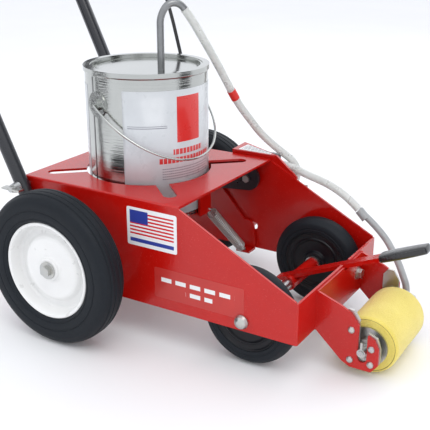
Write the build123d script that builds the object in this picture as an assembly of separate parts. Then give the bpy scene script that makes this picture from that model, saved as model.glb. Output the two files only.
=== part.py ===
"""Walk-behind line striping machine that rolls paint from an open can onto the ground.

+X is the way it is pushed, +Y is its left side and +Z is up. The pieces are drawn with the
rear axle over X = 0, the middle of the frame on Y = 0 and the ground at Z = 0, and the last
section moves them so that the origin is the middle of the machine's footprint.
All sizes are in millimetres.
"""
from build123d import *
from math import cos, hypot, pi, radians, sin, sqrt, tan
import os

# ---------------------------------------------------------------- driving dimensions
# Sheet metal frame
frame_width = 242.0          # over the outer faces of the side panels
sheet = 3.0                  # sheet thickness
deck_rear = -96.0            # rear edge of the deck
deck_front = 153.0           # front edge of the deck
deck_top = 193.0
panel_bottom = 51.0          # lower edge of the side panels
nose_front = 316.0           # outer face of the front panel
nose_top = 105.0             # upper edge of the front panel
rear_panel_top = 150.0
edge_round = 2.5             # bend radius seen from outside

# Wheels
rear_radius = 101.6
rear_tyre_width = 42.0
rear_rim_radius = 64.0
rear_wheel_out = 57.0        # from a side panel's outer face to its rear wheel's middle plane
front_radius = 63.5
front_tyre_width = 30.0
front_core_radius = 44.0
front_axle_x = 242.3
front_wheel_in = 20.2        # from a side panel's inner face to its front wheel's middle plane
axle_radius = 6.35
bush_wall = 3.0
run_gap = 0.06               # radial running clearance of a bush on its axle
side_gap = 0.4               # free space beside a turning hub

# Paint can and its cradle
can_x = 23.8
can_radius = 82.5
can_bottom = 142.0
can_height = 195.0
can_wall = 1.2
can_ring = 84.5              # outer radius of the rim at the can's mouth
deck_hole_gap = 3.9          # between can and deck
slot_width = 18.0            # the four diagonal slots of the deck
slot_reach = 139.0           # from the can's axis to a slot's outer end
ear_angle = -105.0           # direction of the bail's near ear, about the can's axis
ear_height = 293.0
bail_wire = 1.6              # wire radius
bail_half_width = 90.0
bail_length = 118.0
bail_tilt = 54.0             # from straight down, towards the front
cradle_y = 8.0
cradle_width = 28.0

# Paint roller and its bracket
roller_x = 377.9
foam_radius = 37.0
foam_length = 101.6
core_radius = 20.0
core_wall = 3.0
disc_radius = 25.0
disc_thick = 3.0
hollow_axle_radius = 5.0
hollow_axle_bore = 3.0
axle_tip_radius = 3.6        # the axle's near end, outside the ear
collar_radius = 7.4          # passes between the rivets as the axle floats
bracket_half_width = 71.0    # outer faces of the ears
bracket_top = 103.0
slot_gap = 0.7               # between the hollow axle and its slot, each side
slot_floor = 23.3            # lowest point of the slot
rivet_radius = 3.2

# Front lever
lever_angle = 23.2           # slope of the bar at rest
lever_width = 19.0
lever_thick = 5.0
lever_y = 20.0
lever_lift = 7.0             # bar's middle above the axle's axis, square to the bar
lever_reach = 133.0          # from the axle to the end of the bare bar
lever_tail = 22.0
grip_length = 62.3
grip_wall = 2.5
sleeve_radius = 9.5
sleeve_near_y = 4.0
sleeve_far_y = 78.0

# Handle
tube_radius = 9.5
tube_bore = 8.0
tube_gap = 1.0               # between tube and side panel
lean = 25.5                  # degrees back from upright
fold_height = 118.0          # the two fold bolts
clamp_drop = 7.5             # the two wing bolts below the deck's underside
handle_height = 905.0        # axis of the grip bar
handle_bend = 55.0
bolt_radius = 4.0

# Pump and its swinging drive
pump_x = 120.0
pump_z = 161.0
pump_radius = 30.0
pump_depth = 30.0
pump_wall = 3.0
pump_tube_radius = 4.5
drive_drop = 76.0            # drive wheel axis below the pump axis
drive_width = 20.0
drive_gap = 0.4              # between drive wheel and tyre at rest
drive_shaft_radius = 5.0
pulley_radius = 10.0
clutch_swing = 5.0           # degrees, drive wheel off the tyre

# Hoses
hose_radius = 5.5
pipe_radius = 4.75
pipe_bore = 3.4
cable_radius = 2.5

# ---------------------------------------------------------------- derived places
half_width = frame_width / 2
inner_face = half_width - sheet
rear_wheel_y = half_width + rear_wheel_out
front_wheel_y = inner_face - front_wheel_in
deck_under = deck_top - sheet
clamp_height = deck_under - clamp_drop
rear_axle_z = rear_radius
front_axle_z = front_radius
roller_z = foam_radius
nose_slope = (deck_top - nose_top) / (nose_front - deck_front)
tube_y = half_width + tube_gap + tube_radius
tube_foot_z = fold_height - 20.0
can_top = can_bottom + can_height
bush_radius = axle_radius + bush_wall
bracket_bolt_y = 54.0
bracket_bolt_z = 78.0
lever_notch_z = front_axle_z + (nose_front - sheet / 2 - front_axle_x) * tan(radians(lever_angle)) \
    + (lever_lift - lever_thick / 2) / cos(radians(lever_angle)) - 1.6
front_axle_end = half_width + 3.5
wheel_bolt_radius = 3.5
pivot_bolt_radius = 3.0
roller_hub_width = 10.0
feed_y = bracket_half_width + 12.0
fitting_top = roller_z + 12.0
crossbar_foot_z = 700.0
grip_half = 62.0
control_z = 800.0
cradle_drop = 1.0
can_lid_radius = can_ring - 9.0
spring_hook_wire = 1.2
spring_radius = 6.6
cradle_tab = 2.0
spring_top = (can_x + can_radius + 1.5 + sheet / 2, cradle_y + cradle_width / 2 - 4, can_bottom - 2.0)
lug_y0 = half_width - 25.0
spring_foot = (pump_x, lug_y0 + 6.0, pump_z - 110.5)
rotor_shaft_radius = 4.0
loop_radius = 21.8
roller_orbit = 11.5
squeeze_radius = 5.2
outlet_y = half_width + sheet + 9.0
inlet_y = half_width + sheet + 20.0
belt_y = half_width + sheet + pump_depth + 3.0 + 5.0
cable_deck = (36.0, 100.0)
cable_hole = 5.0
cable_start = deck_top + 12.0
hand_rise = (12.0, 26.0)
hand_reach = (29.0, 66.0)
pipe_place = (55.2, -10.7)
pipe_foot_z = can_bottom + 10.0


def handle_x(z):
    """X of the handle tubes' axis at height z."""
    return deck_rear - (z - deck_top) * tan(radians(lean))


# ---------------------------------------------------------------- routes of hoses and cable
suction_pipe_points = [(*pipe_place, pipe_foot_z), (*pipe_place, 400.0), (62.0, -3.5, 417.0),
                       (73.3, 8.4, 417.2), (77.0, 13.0, 409.2)]
suction_points = [(77.0, 13.0, 408.9), (83.0, 20.5, 396.0), (88.0, 32.0, 377.0), (95.0, 47.0, 352.0),
                  (103.5, 67.5, 317.0), (113.0, 89.0, 277.0), (125.0, 104.0, 251.5), (136.0, half_width, 226.0),
                  (152.0, half_width + 18.0, 204.0), (175.5, half_width + 29.0, 184.9),
                  (181.4, half_width + 30.0, 167.7), (176.1, half_width + 28.0, 150.3),
                  (161.4, inlet_y, pump_z - loop_radius), (pump_x + pump_radius, inlet_y, pump_z - loop_radius)]
delivery_points = [(pump_x + pump_radius, outlet_y, pump_z + loop_radius),
                   (164.0, outlet_y, pump_z + loop_radius), (178.0, half_width + 12.5, 181.5),
                   (192.0, half_width + 11.5, 178.0), (206.0, half_width + 10.5, 174.0),
                   (222.0, half_width + 10.0, 170.5), (243.0, half_width + 9.5, 164.5),
                   (261.0, half_width + 9.0, 156.0), (275.0, half_width + 9.0, 147.0),
                   (286.0, half_width + 8.9, 137.5)]
feed_points = [(286.5, half_width + 9.0, 137.0), (317.0, half_width + 7.5, 108.0),
               (349.0, half_width - 18.0, 82.0), (371.0, feed_y + 5.0, 69.5),
               (roller_x, feed_y, 60.0), (roller_x, feed_y, fitting_top)]
cable_points = [(*cable_deck, cable_start + 0.4), (32.0, 101.0, 240.0), (22.0, 103.0, 288.0), (7.0, 105.0, 340.0),
                (-10.0, 108.0, 395.0), (-35.0, 112.0, 450.0), (-72.0, 117.0, 505.0), (-120.0, 122.0, 560.0),
                (-175.0, 127.0, 612.0), (-232.0, 130.5, 656.0), (-285.0, tube_y, 690.0), (-322.0, tube_y, 722.0),
                (-342.0, tube_y, 755.0)]
cable_stop_foot = (cable_points[-1][0] - 0.3, tube_y, cable_points[-1][2] + 0.6)
cable_stop_top = (cable_points[-1][0] - 7.3, tube_y, cable_points[-1][2] + 12.0)
hand_pivot = (handle_x(control_z) + 31.0, tube_y, control_z)
arm_wire_points = [(*cable_deck, deck_under - 2.4), (38.0, 102.0, 162.0), (53.7, half_width - 12.1, 133.9)]
clip_places = [(187.0, 168.0), (207.0, 164.0)]


# ---------------------------------------------------------------- shape helpers
def block(x0, x1, y0, y1, z0, z1):
    """Box between two opposite corners."""
    return Pos((x0 + x1) / 2, (y0 + y1) / 2, (z0 + z1) / 2) * Box(x1 - x0, y1 - y0, z1 - z0)


def rod(start, end, radius):
    """Round bar from start to end."""
    line = Vector(*end) - Vector(*start)
    plane = Plane(origin=start, z_dir=line)
    return plane * Cylinder(radius, line.length, align=(Align.CENTER, Align.CENTER, Align.MIN))


def rod_y(radius, y0, y1, x, z):
    """Round bar along Y."""
    return rod((x, y0, z), (x, y1, z), radius)


def ring_y(outer, inner, y0, y1, x, z):
    """Tube along Y."""
    return rod_y(outer, y0, y1, x, z) - rod_y(inner, y0 - 1, y1 + 1, x, z)


def plate_y(points, y0, y1, radius=None):
    """Flat plate with an outline in X and Z, between y0 and y1; its corners are rounded."""
    corners = [(x, y0, z) for x, z in points]
    if radius is None:
        wire = Wire.make_polygon(corners, close=True)
    else:
        wire = Wire(FilletPolyline(*corners, radius=radius, close=True).edges())
    return Solid.extrude(Face(wire), (0, y1 - y0, 0))


def plate_z(points, z0, z1):
    """Flat plate with an outline in X and Y, between z0 and z1."""
    wire = Wire.make_polygon([(x, y, z0) for x, y in points], close=True)
    return Solid.extrude(Face(wire), (0, 0, z1 - z0))


def turned_y(profile, x, y, z, outward=1):
    """Solid turned about a line along Y; each profile point is (radius, distance outward from y)."""
    face = Face(Wire.make_polygon([(r, outward * w, 0) for r, w in profile], close=True))
    return Pos(x, y, z) * revolve(face, Axis.Y, 360)


def turned_z(profile, x, y):
    """Solid turned about an upright line; each profile point is (radius, height)."""
    face = Face(Wire.make_polygon([(r, 0, h) for r, h in profile], close=True))
    return Pos(x, y, 0) * revolve(face, Axis.Z, 360)


def hexagon(across, start, end):
    """Hexagonal head or nut from start to end; across is its width over the flats."""
    line = Vector(*end) - Vector(*start)
    plane = Plane(origin=start, z_dir=line)
    sketch = plane * RegularPolygon(across / sqrt(3), 6)
    return extrude(sketch, amount=line.length)


def bolt(start, end, radius, head, across):
    """Hexagon bolt: its head stands on start, away from end."""
    line = (Vector(*end) - Vector(*start)).normalized()
    top = Vector(*start) - line * head
    return rod(start, end, radius) + hexagon(across, tuple(top), start)


def corner_radii(points):
    """Radius at each inner point of a hose: 0.45 of the shorter run over tan(half the turn)."""
    radii = []
    for a, b, c in zip(points, points[1:], points[2:]):
        first = Vector(*b) - Vector(*a)
        second = Vector(*c) - Vector(*b)
        turn = radians(first.get_angle(second))
        radii.append(0.45 * min(first.length, second.length) / tan(turn / 2))
    return radii


def tube_along(points, radius, name, bore=None):
    """Tube along straight runs joined by tangent arcs; its volume is checked against its length."""
    radii = corner_radii(points)
    path = FilletPolyline(*points, radius=radii)
    wire = Wire(path.edges())
    plane = Plane(origin=points[0], z_dir=Vector(*points[1]) - Vector(*points[0]))
    section = plane * Circle(radius)
    area = pi * radius * radius
    if bore:
        section -= plane * Circle(bore)
        area -= pi * bore * bore
    solid = sweep(section, path=wire)
    share = solid.volume / (area * wire.length)
    print(name, "length", round(wire.length, 1), "volume share", round(share, 4),
          "radii", [round(r, 1) for r in radii])
    return solid


def both_sides(make):
    """The same piece on the right (-1) and on the left (+1), as one group."""
    return Compound(children=[*make(-1).solids(), *make(1).solids()])


def group(solids):
    """Several separate solids in one node."""
    return Compound(children=[s for solid in solids for s in solid.solids()])


# ---------------------------------------------------------------- frame
def deck_plate():
    """Top plate with the can hole and four diagonal slots for cans of other sizes."""
    plate = block(deck_rear, deck_front, -half_width, half_width, deck_under, deck_top)
    long_edges = plate.edges().filter_by(Axis.X).group_by(Axis.Z)[-1]
    plate = fillet(long_edges, edge_round)
    plate -= Pos(can_x, 0, deck_under) * Cylinder(can_radius + deck_hole_gap, 4 * sheet)
    for turn in (43, 137, 223, 317):
        slot = block(can_radius, slot_reach - slot_width / 2, -slot_width / 2, slot_width / 2,
                     deck_under - 1, deck_top + 1)
        slot += Pos(slot_reach - slot_width / 2, 0, deck_under) * Cylinder(slot_width / 2, 4 * sheet)
        plate -= Pos(can_x, 0, 0) * Rot(0, 0, turn) * slot
    plate -= rod((cable_deck[0], cable_deck[1], 0), (cable_deck[0], cable_deck[1], 300), cable_hole)
    return plate


def side_outline():
    """Outline of a side panel in X and Z."""
    nose_inner = nose_front - sheet
    nose_z = nose_top + sheet * nose_slope
    return [(deck_rear, panel_bottom), (nose_inner, panel_bottom), (nose_inner, nose_z),
            (deck_front, deck_under), (deck_rear, deck_under)]


def side_panel(side):
    """Side panel with its axle holes, fold bolt hole and open wing bolt notch."""
    y0 = min(side * inner_face, side * half_width)
    panel = plate_y(side_outline(), y0, y0 + sheet)
    panel -= rod_y(axle_radius + run_gap, -300, 300, 0, rear_axle_z)
    panel -= rod_y(axle_radius + run_gap, -300, 300, front_axle_x, front_axle_z)
    panel -= rod_y(bolt_radius + run_gap, -300, 300, handle_x(fold_height), fold_height)
    panel -= wing_notch()
    if side > 0:
        panel -= rod_y(pivot_bolt_radius + run_gap, 0, 300, pump_x, pump_z)
        panel -= drive_slot()
    return panel


def wing_notch():
    """Notch, open to the rear, that the wing bolts swing out of as the handle folds back."""
    x = handle_x(clamp_height)
    half = bolt_radius + 0.6
    notch = rod_y(half, -300, 300, x, clamp_height)
    notch += block(deck_rear - 5, x, -300, 300, clamp_height - half - 4, clamp_height + half)
    return notch


def drive_slot():
    """Curved slot about the pump axis, for the drive wheel's shaft."""
    half = drive_shaft_radius + 1.0
    steps = 5
    slot = Part()
    for step in range(steps):
        angle = radians(-1 + (clutch_swing + 2) * step / (steps - 1))
        x = pump_x + drive_drop * sin(angle)
        z = pump_z - drive_drop * cos(angle)
        slot += rod_y(half, 0, 300, x, z)
    return slot


def front_panel():
    """Front panel with the notch that the lever rests in and the bracket's bolt holes."""
    panel = block(nose_front - sheet, nose_front, -half_width, half_width, panel_bottom, nose_top)
    corner_edges = panel.edges().filter_by(Axis.Z).group_by(Axis.X)[-1]
    panel = fillet(corner_edges, edge_round)
    half = lever_width / 2 + 1.5
    panel -= block(nose_front - 2 * sheet, nose_front + sheet, lever_y - half, lever_y + half,
                   lever_notch_z, nose_top + 1)
    for side in (-1, 1):
        start = (nose_front - 20, side * bracket_bolt_y, bracket_bolt_z)
        panel -= rod(start, (nose_front + 20, *start[1:]), bolt_radius + run_gap)
    return panel


def rear_panel():
    """Rear cross panel, below the handle's wing bolts."""
    return block(deck_rear, deck_rear + sheet, -inner_face, inner_face, panel_bottom, rear_panel_top)


def can_cradle():
    """Bent strap under the can, with a leg up to the deck at each end and a tab for the spring."""
    y0 = cradle_y - cradle_width / 2
    y1 = cradle_y + cradle_width / 2
    front = can_x + can_radius + 1.5
    rear = can_x - can_radius - 1.5
    floor = can_bottom - cradle_drop
    strap = block(rear - sheet, front + sheet, y0, y1, floor - sheet, floor)
    strap += block(front, front + sheet, y0, y1, floor - sheet - cradle_tab, deck_under)
    strap += block(rear - sheet, rear, y0, y1, floor - sheet, deck_under)
    strap -= rod((front - 1, spring_top[1], spring_top[2]), (front + 2 * sheet, *spring_top[1:]),
                 spring_hook_wire + 0.8)
    return strap


# ---------------------------------------------------------------- wheels and axles
def rear_tyre(side):
    """Ribbed solid rubber tyre."""
    half = rear_tyre_width / 2
    bead = rear_rim_radius
    seat = rear_rim_radius - 2.2
    crown = rear_radius
    outline = [(seat, -12), (bead, -12), (bead + 0.6, -half + 3), (bead + 6, -half + 0.8),
               (crown - 17, -half), (crown - 7, -half + 2), (crown - 1.4, -half + 8), (crown, -half + 15),
               (crown, half - 15), (crown - 1.4, half - 8), (crown - 7, half - 2), (crown - 17, half),
               (bead + 6, half - 0.8), (bead + 0.6, half - 3), (bead, 12), (seat, 12)]
    return turned_y(outline, 0, side * rear_wheel_y, rear_axle_z)


def rear_rim(side):
    """Dished steel rim with its hub tube."""
    edge = rear_rim_radius - 0.2
    seat = rear_rim_radius - 2.4
    hub = bush_radius + 5
    inner = axle_radius + run_gap
    outline = [(inner, -20), (hub, -20), (hub, 5), (40, 5), (42, 2), (seat - 4, 2), (seat - 4, -16),
               (edge, -16), (edge, -14), (seat, -12.3), (seat, 12.3), (edge, 14), (edge, 16.5),
               (seat - 4, 16.5), (seat - 4, 6), (42, 6), (40, 9), (hub + 3, 9), (hub, 13), (inner, 13)]
    return turned_y(outline, 0, side * rear_wheel_y, rear_axle_z, outward=side)


def rear_axle():
    """Plain rod through both side panels; its ends are drilled for the wheel bolts."""
    end = rear_wheel_y + 13 + side_gap
    axle = rod_y(axle_radius, -end, end, 0, rear_axle_z)
    for side in (-1, 1):
        span = sorted((side * end, side * (end - 20)))
        axle -= rod_y(wheel_bolt_radius, *span, 0, rear_axle_z)
    return axle


def rear_spacer(side):
    """Spacer tube that keeps the wheel clear of the handle."""
    span = sorted((side * half_width, side * (rear_wheel_y - 20 - side_gap)))
    return ring_y(bush_radius - 0.5, axle_radius + run_gap, *span, 0, rear_axle_z)


def wheel_washer(side):
    """Zinc washer that holds the hub on the axle."""
    y0 = side * (rear_wheel_y + 13 + side_gap)
    y1 = y0 + side * 2.0
    return ring_y(11.5, wheel_bolt_radius + run_gap, min(y0, y1), max(y0, y1), 0, rear_axle_z)


def wheel_bolt(side):
    """Hexagon bolt screwed into the axle's end."""
    face = side * (rear_wheel_y + 13 + side_gap + 2.0)
    return bolt((0, face, rear_axle_z), (0, face - side * 18, rear_axle_z), wheel_bolt_radius - 0.05, 5.0, 13.0)


def front_tyre(side):
    """Solid rubber tyre with rounded shoulders."""
    half = front_tyre_width / 2
    crown = front_radius
    core = front_core_radius
    outline = [(core, -half + 1), (crown - 11, -half), (crown - 4, -half + 2.2), (crown - 0.9, -half + 7),
               (crown, -half + 11), (crown, half - 11), (crown - 0.9, half - 7), (crown - 4, half - 2.2),
               (crown - 11, half), (core, half - 1)]
    return turned_y(outline, front_axle_x, side * front_wheel_y, front_axle_z)


def front_core(side):
    """Moulded black wheel centre, with a raised hub."""
    half = front_tyre_width / 2
    core = front_core_radius - 0.1
    inner = axle_radius + run_gap
    outline = [(inner, -half), (16, -half), (18, -half + 5), (32, -half + 6), (34, -half + 3), (core, -half + 2),
               (core, half - 2), (34, half - 3), (32, half - 6), (18, half - 5), (16, half), (inner, half)]
    return turned_y(outline, front_axle_x, side * front_wheel_y, front_axle_z)


def front_axle():
    """Rod through both side panels and the lever's sleeve."""
    return rod_y(axle_radius, -front_axle_end, front_axle_end, front_axle_x, front_axle_z)


def axle_cap(side):
    """Domed push-on cap outside the panel."""
    profile = [(axle_radius + 0.02, 0), (9.2, 0), (9.2, 2.0), (7.5, 5.5), (4.0, 7.6), (0, 8.2),
               (0, front_axle_end - half_width + 0.1), (axle_radius + 0.02, front_axle_end - half_width + 0.1)]
    return turned_y(profile, front_axle_x, side * half_width, front_axle_z, outward=side)


def front_washers():
    """Washers beside the front hubs and beside the lever's sleeve."""
    half = front_tyre_width / 2 + side_gap
    spans = []
    for side in (-1, 1):
        outer = sorted((side * (front_wheel_y + half), side * (inner_face - 0.1)))
        spans.append(outer)
    spans.append((sleeve_far_y + side_gap, front_wheel_y - half))
    spans.append((-front_wheel_y + half, -front_wheel_y + half + 2.5))
    return group([ring_y(bush_radius + 1.5, axle_radius + 0.02, y0, y1, front_axle_x, front_axle_z)
                  for y0, y1 in spans])


# ---------------------------------------------------------------- front lever
def along_lever(distance, height=0.0):
    """Point at a distance from the front axle along the resting bar, and a height square to it."""
    slope = radians(lever_angle)
    x = front_axle_x + distance * cos(slope) - (height + lever_lift) * sin(slope)
    z = front_axle_z + distance * sin(slope) + (height + lever_lift) * cos(slope)
    return x, z


def lever_bar(start, end, half_width_y, half_thick):
    """Flat bar in the lever's slope."""
    corners = [along_lever(start, -half_thick), along_lever(end, -half_thick),
               along_lever(end, half_thick), along_lever(start, half_thick)]
    return plate_y(corners, lever_y - half_width_y, lever_y + half_width_y)


def front_lever():
    """Bar welded to a sleeve that turns on the front axle."""
    bar = lever_bar(-lever_tail, lever_reach + grip_length - 6, lever_width / 2, lever_thick / 2)
    bar += rod_y(sleeve_radius, sleeve_near_y, sleeve_far_y, front_axle_x, front_axle_z)
    bar -= rod_y(axle_radius + run_gap, 0, 100, front_axle_x, front_axle_z)
    return bar


def lever_grip():
    """Dipped vinyl grip with a rounded end."""
    grip = lever_bar(lever_reach, lever_reach + grip_length, lever_width / 2 + grip_wall,
                     lever_thick / 2 + grip_wall)
    ends = grip.edges().filter_by(Axis.Y).sort_by(Axis.X)[-2:]
    grip = fillet(ends, 2.4)
    core = lever_bar(lever_reach - 1, lever_reach + grip_length - 6 + 0.05, lever_width / 2 + 0.02,
                     lever_thick / 2 + 0.02)
    return grip - core


# ---------------------------------------------------------------- roller and its bracket
def ear_outline():
    """Outline of a bracket ear in X and Z, before its slot is cut."""
    tip = roller_x
    return [(nose_front, bracket_top), (tip - 29, bracket_top - 12), (tip - 16, bracket_top - 19),
            (tip - 7, bracket_top - 31), (tip + 6, bracket_top - 43), (tip + 14.5, bracket_top - 47),
            (tip + 20, bracket_top - 58), (tip + 20.3, 24), (tip + 12, 13.5), (tip - 15, 13.5),
            (tip - 26, 19), (nose_front, panel_bottom + 1)]


def axle_slot():
    """Upright slot, open at the top, that the hollow axle floats in."""
    half = hollow_axle_radius + slot_gap
    slot = rod_y(half, -200, 200, roller_x, slot_floor + half)
    slot += block(roller_x - half, roller_x + half, -200, 200, slot_floor + half, bracket_top)
    return slot


def rivet_places():
    """X and Z of the four rivets in each ear."""
    return [(roller_x - 15, roller_z + 26), (roller_x - 15, slot_floor), (roller_x + 11, roller_z + 7),
            (roller_x + 11, slot_floor)]


def roller_bracket():
    """U-shaped bracket: a back plate on the front panel, and two ears."""
    back = block(nose_front, nose_front + sheet, -bracket_half_width, bracket_half_width,
                 panel_bottom - 0.5, bracket_top)
    bracket = back
    for side in (-1, 1):
        y0 = min(side * bracket_half_width, side * (bracket_half_width - sheet))
        bracket += plate_y(ear_outline(), y0, y0 + sheet) - axle_slot()
    half = lever_width / 2 + 1.5
    bracket -= block(nose_front - 1, nose_front + 2 * sheet, lever_y - half, lever_y + half, lever_notch_z,
                     bracket_top + 1)
    for side in (-1, 1):
        start = (nose_front - 5, side * bracket_bolt_y, bracket_bolt_z)
        bracket -= rod(start, (nose_front + 20, *start[1:]), bolt_radius + run_gap)
    for x, z in rivet_places():
        bracket -= rod_y(rivet_radius, -100, 100, x, z)
    return bracket


def bearing_plate(side):
    """Zinc plate riveted inside an ear; it guides the hollow axle."""
    tip = roller_x
    outline = [(tip - 27, bracket_top - 23), (tip - 21, bracket_top - 15), (tip - 13.5, bracket_top - 15.5),
               (tip - 4, bracket_top - 30), (tip + 7, bracket_top - 41), (tip + 17, bracket_top - 45),
               (tip + 21.5, bracket_top - 58), (tip + 21.5, 26), (tip + 13, 16), (tip - 18, 16), (tip - 27, 26)]
    outer = bracket_half_width - sheet
    y0 = min(side * outer, side * (outer - sheet))
    plate = plate_y(outline, y0, y0 + sheet) - axle_slot()
    for x, z in rivet_places():
        plate -= rod_y(rivet_radius, -100, 100, x, z)
    return plate


def rivets():
    """Round-headed rivets through the ears and bearing plates."""
    made = []
    inner = bracket_half_width - 2 * sheet
    for side in (-1, 1):
        for x, z in rivet_places():
            shank = sorted((side * (inner - 0.8), side * (bracket_half_width + 0.2)))
            head = [(0, 0), (4.4, 0), (3.9, 1.4), (2.4, 2.4), (0, 2.8)]
            rivet = rod_y(rivet_radius - 0.02, *shank, x, z)
            rivet += turned_y(head, x, side * bracket_half_width, z, outward=side)
            made.append(rivet)
    return group(made)


def bracket_bolt(side):
    """Bolt of the roller bracket with its head in front."""
    face = nose_front + sheet + 2.0
    start = (face, side * bracket_bolt_y, bracket_bolt_z)
    return bolt(start, (nose_front - sheet - 8, *start[1:]), bolt_radius, 5.0, 12.0)


def bracket_washer(side):
    """Washer under a bracket bolt's head."""
    start = (nose_front + sheet, side * bracket_bolt_y, bracket_bolt_z)
    end = (nose_front + sheet + 2.0, *start[1:])
    return rod(start, end, 9.0) - rod((start[0] - 1, *start[1:]), (end[0] + 1, *start[1:]), bolt_radius + run_gap)


def bracket_nut(side):
    """Nut of a bracket bolt, inside the front panel."""
    start = (nose_front - sheet - 6.5, side * bracket_bolt_y, bracket_bolt_z)
    end = (nose_front - sheet, *start[1:])
    return hexagon(13.0, start, end) - rod((start[0] - 1, *start[1:]), (end[0] + 1, *start[1:]), bolt_radius)


def foam_sleeve():
    """Paint sleeve with soft rounded ends."""
    sleeve = ring_y(foam_radius, core_radius + 0.02, -foam_length / 2, foam_length / 2, roller_x, roller_z)
    rims = sleeve.edges().filter_by(GeomType.CIRCLE).sort_by(SortBy.RADIUS)[-2:]
    return fillet(rims, 3.5)


def roller_core():
    """Perforated tube that paint comes through into the foam."""
    core = ring_y(core_radius, core_radius - core_wall, -foam_length / 2, foam_length / 2, roller_x, roller_z)
    hole_rows = 5
    for row in range(hole_rows):
        y = foam_length * ((row + 0.5) / hole_rows - 0.5)
        core -= rod((roller_x - 30, y, roller_z), (roller_x + 30, y, roller_z), 1.5)
        core -= rod((roller_x, y, roller_z - 30), (roller_x, y, roller_z + 30), 1.5)
    return core


def end_disc(side):
    """Zinc end disc with its hub, running on the hollow axle."""
    inner = hollow_axle_radius + run_gap
    spigot = core_radius - core_wall - 0.02
    profile = [(inner, -8), (spigot, -8), (spigot, 0), (disc_radius, 0), (disc_radius, disc_thick),
               (12, disc_thick), (12, roller_hub_width), (inner, roller_hub_width)]
    return turned_y(profile, roller_x, side * foam_length / 2, roller_z, outward=side)


def hollow_axle():
    """Hollow axle that carries paint into the roller; its near end is closed."""
    near = -bracket_half_width - 1
    far = bracket_half_width + 4
    axle = rod_y(hollow_axle_radius, near, far, roller_x, roller_z)
    axle += rod_y(axle_tip_radius, near - 4, near, roller_x, roller_z)
    axle -= rod_y(hollow_axle_bore, -40, far, roller_x, roller_z)
    for y in (-30, 0, 30):
        axle -= rod((roller_x, y, roller_z), (roller_x, y, roller_z - 10), 1.2)
    return axle


def axle_collar(side):
    """Collar that keeps the roller centred between the bearing plates."""
    y0 = side * (foam_length / 2 + roller_hub_width + side_gap)
    y1 = side * (bracket_half_width - 2 * sheet - side_gap)
    return ring_y(collar_radius, hollow_axle_radius, min(y0, y1), max(y0, y1), roller_x, roller_z)


def axle_clip():
    """Flat spring clip standing up from the axle's near end, outside the ear."""
    y0 = -bracket_half_width - 3.5
    clip = block(roller_x - 1.5, roller_x + 1.5, y0, y0 + 2.0, roller_z, roller_z + 14)
    clip += ring_y(axle_tip_radius + 1.9, axle_tip_radius, y0, y0 + 2.0, roller_x, roller_z)
    return clip - rod_y(axle_tip_radius, y0 - 1, y0 + 3, roller_x, roller_z)


def axle_fitting():
    """Elbow that joins the feed pipe to the hollow axle's far end."""
    y0 = bracket_half_width + 4
    body = rod_y(7.0, y0, y0 + 14, roller_x, roller_z)
    body += rod((roller_x, feed_y, roller_z), (roller_x, feed_y, fitting_top), 6.5)
    body -= rod_y(hollow_axle_bore, y0 - 1, y0 + 8, roller_x, roller_z)
    body -= rod((roller_x, feed_y, roller_z), (roller_x, feed_y, fitting_top + 1), hollow_axle_bore)
    return body


# ---------------------------------------------------------------- handle
def handle_point(height, side):
    """Point on the axis of one handle tube."""
    return (handle_x(height), side * tube_y, height)


def handle_side_tube(side):
    """Straight side tube, drilled for its two bolts."""
    foot = handle_point(tube_foot_z, side)
    head = handle_point(crossbar_foot_z, side)
    tube = rod(foot, head, tube_radius) - rod(foot, head, tube_bore)
    for z in (fold_height, clamp_height):
        tube -= rod_y(bolt_radius + 0.02, -300, 300, handle_x(z), z)
    return tube


def handle_crossbar():
    """Bent top tube between the two side tubes."""
    corner = handle_point(handle_height, 1)
    foot = handle_point(crossbar_foot_z, 1)
    far_corner = handle_point(handle_height, -1)
    far_foot = handle_point(crossbar_foot_z, -1)
    path = FilletPolyline(foot, corner, far_corner, far_foot, radius=handle_bend)
    plane = Plane(origin=foot, z_dir=Vector(*corner) - Vector(*foot))
    section = plane * Circle(tube_radius) - plane * Circle(tube_bore)
    return sweep(section, path=Wire(path.edges()))


def handle_grip():
    """Foam grip round the crossbar."""
    x = handle_x(handle_height)
    return ring_y(tube_radius + 5.0, tube_radius + 0.02, -grip_half, grip_half, x, handle_height)


def fold_bolt(side):
    """Bolt that the handle folds on; its head is outside the tube."""
    x = handle_x(fold_height)
    outer = side * (tube_y + tube_radius)
    inner = side * (inner_face - 9)
    return bolt((x, outer, fold_height), (x, inner, fold_height), bolt_radius - 0.02, 5.0, 13.0)


def fold_nut(side):
    """Nut of a fold bolt, inside the side panel."""
    x = handle_x(fold_height)
    start = (x, side * (inner_face - 7), fold_height)
    end = (x, side * (inner_face - 0.3), fold_height)
    return hexagon(13.0, start, end) - rod_y(bolt_radius, -200, 200, x, fold_height)


def fold_spacer(side):
    """Washer between tube and side panel at the fold bolt."""
    x = handle_x(fold_height)
    span = sorted((side * (half_width + 0.3), side * (tube_y - tube_radius)))
    washer = ring_y(7.0, bolt_radius, *span, x, fold_height)
    return washer - rod(handle_point(tube_foot_z, side), handle_point(crossbar_foot_z, side), tube_radius + 0.02)


def wing_bolt(side):
    """Round-headed bolt through the side panel and the handle tube."""
    x = handle_x(clamp_height)
    head = side * (inner_face - 0.3)
    end = side * (tube_y + tube_radius + 14)
    span = sorted((head, end))
    flange = sorted((head - side * 3.0, head))
    return rod_y(bolt_radius - 0.05, *span, x, clamp_height) + rod_y(7.0, *flange, x, clamp_height)


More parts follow.
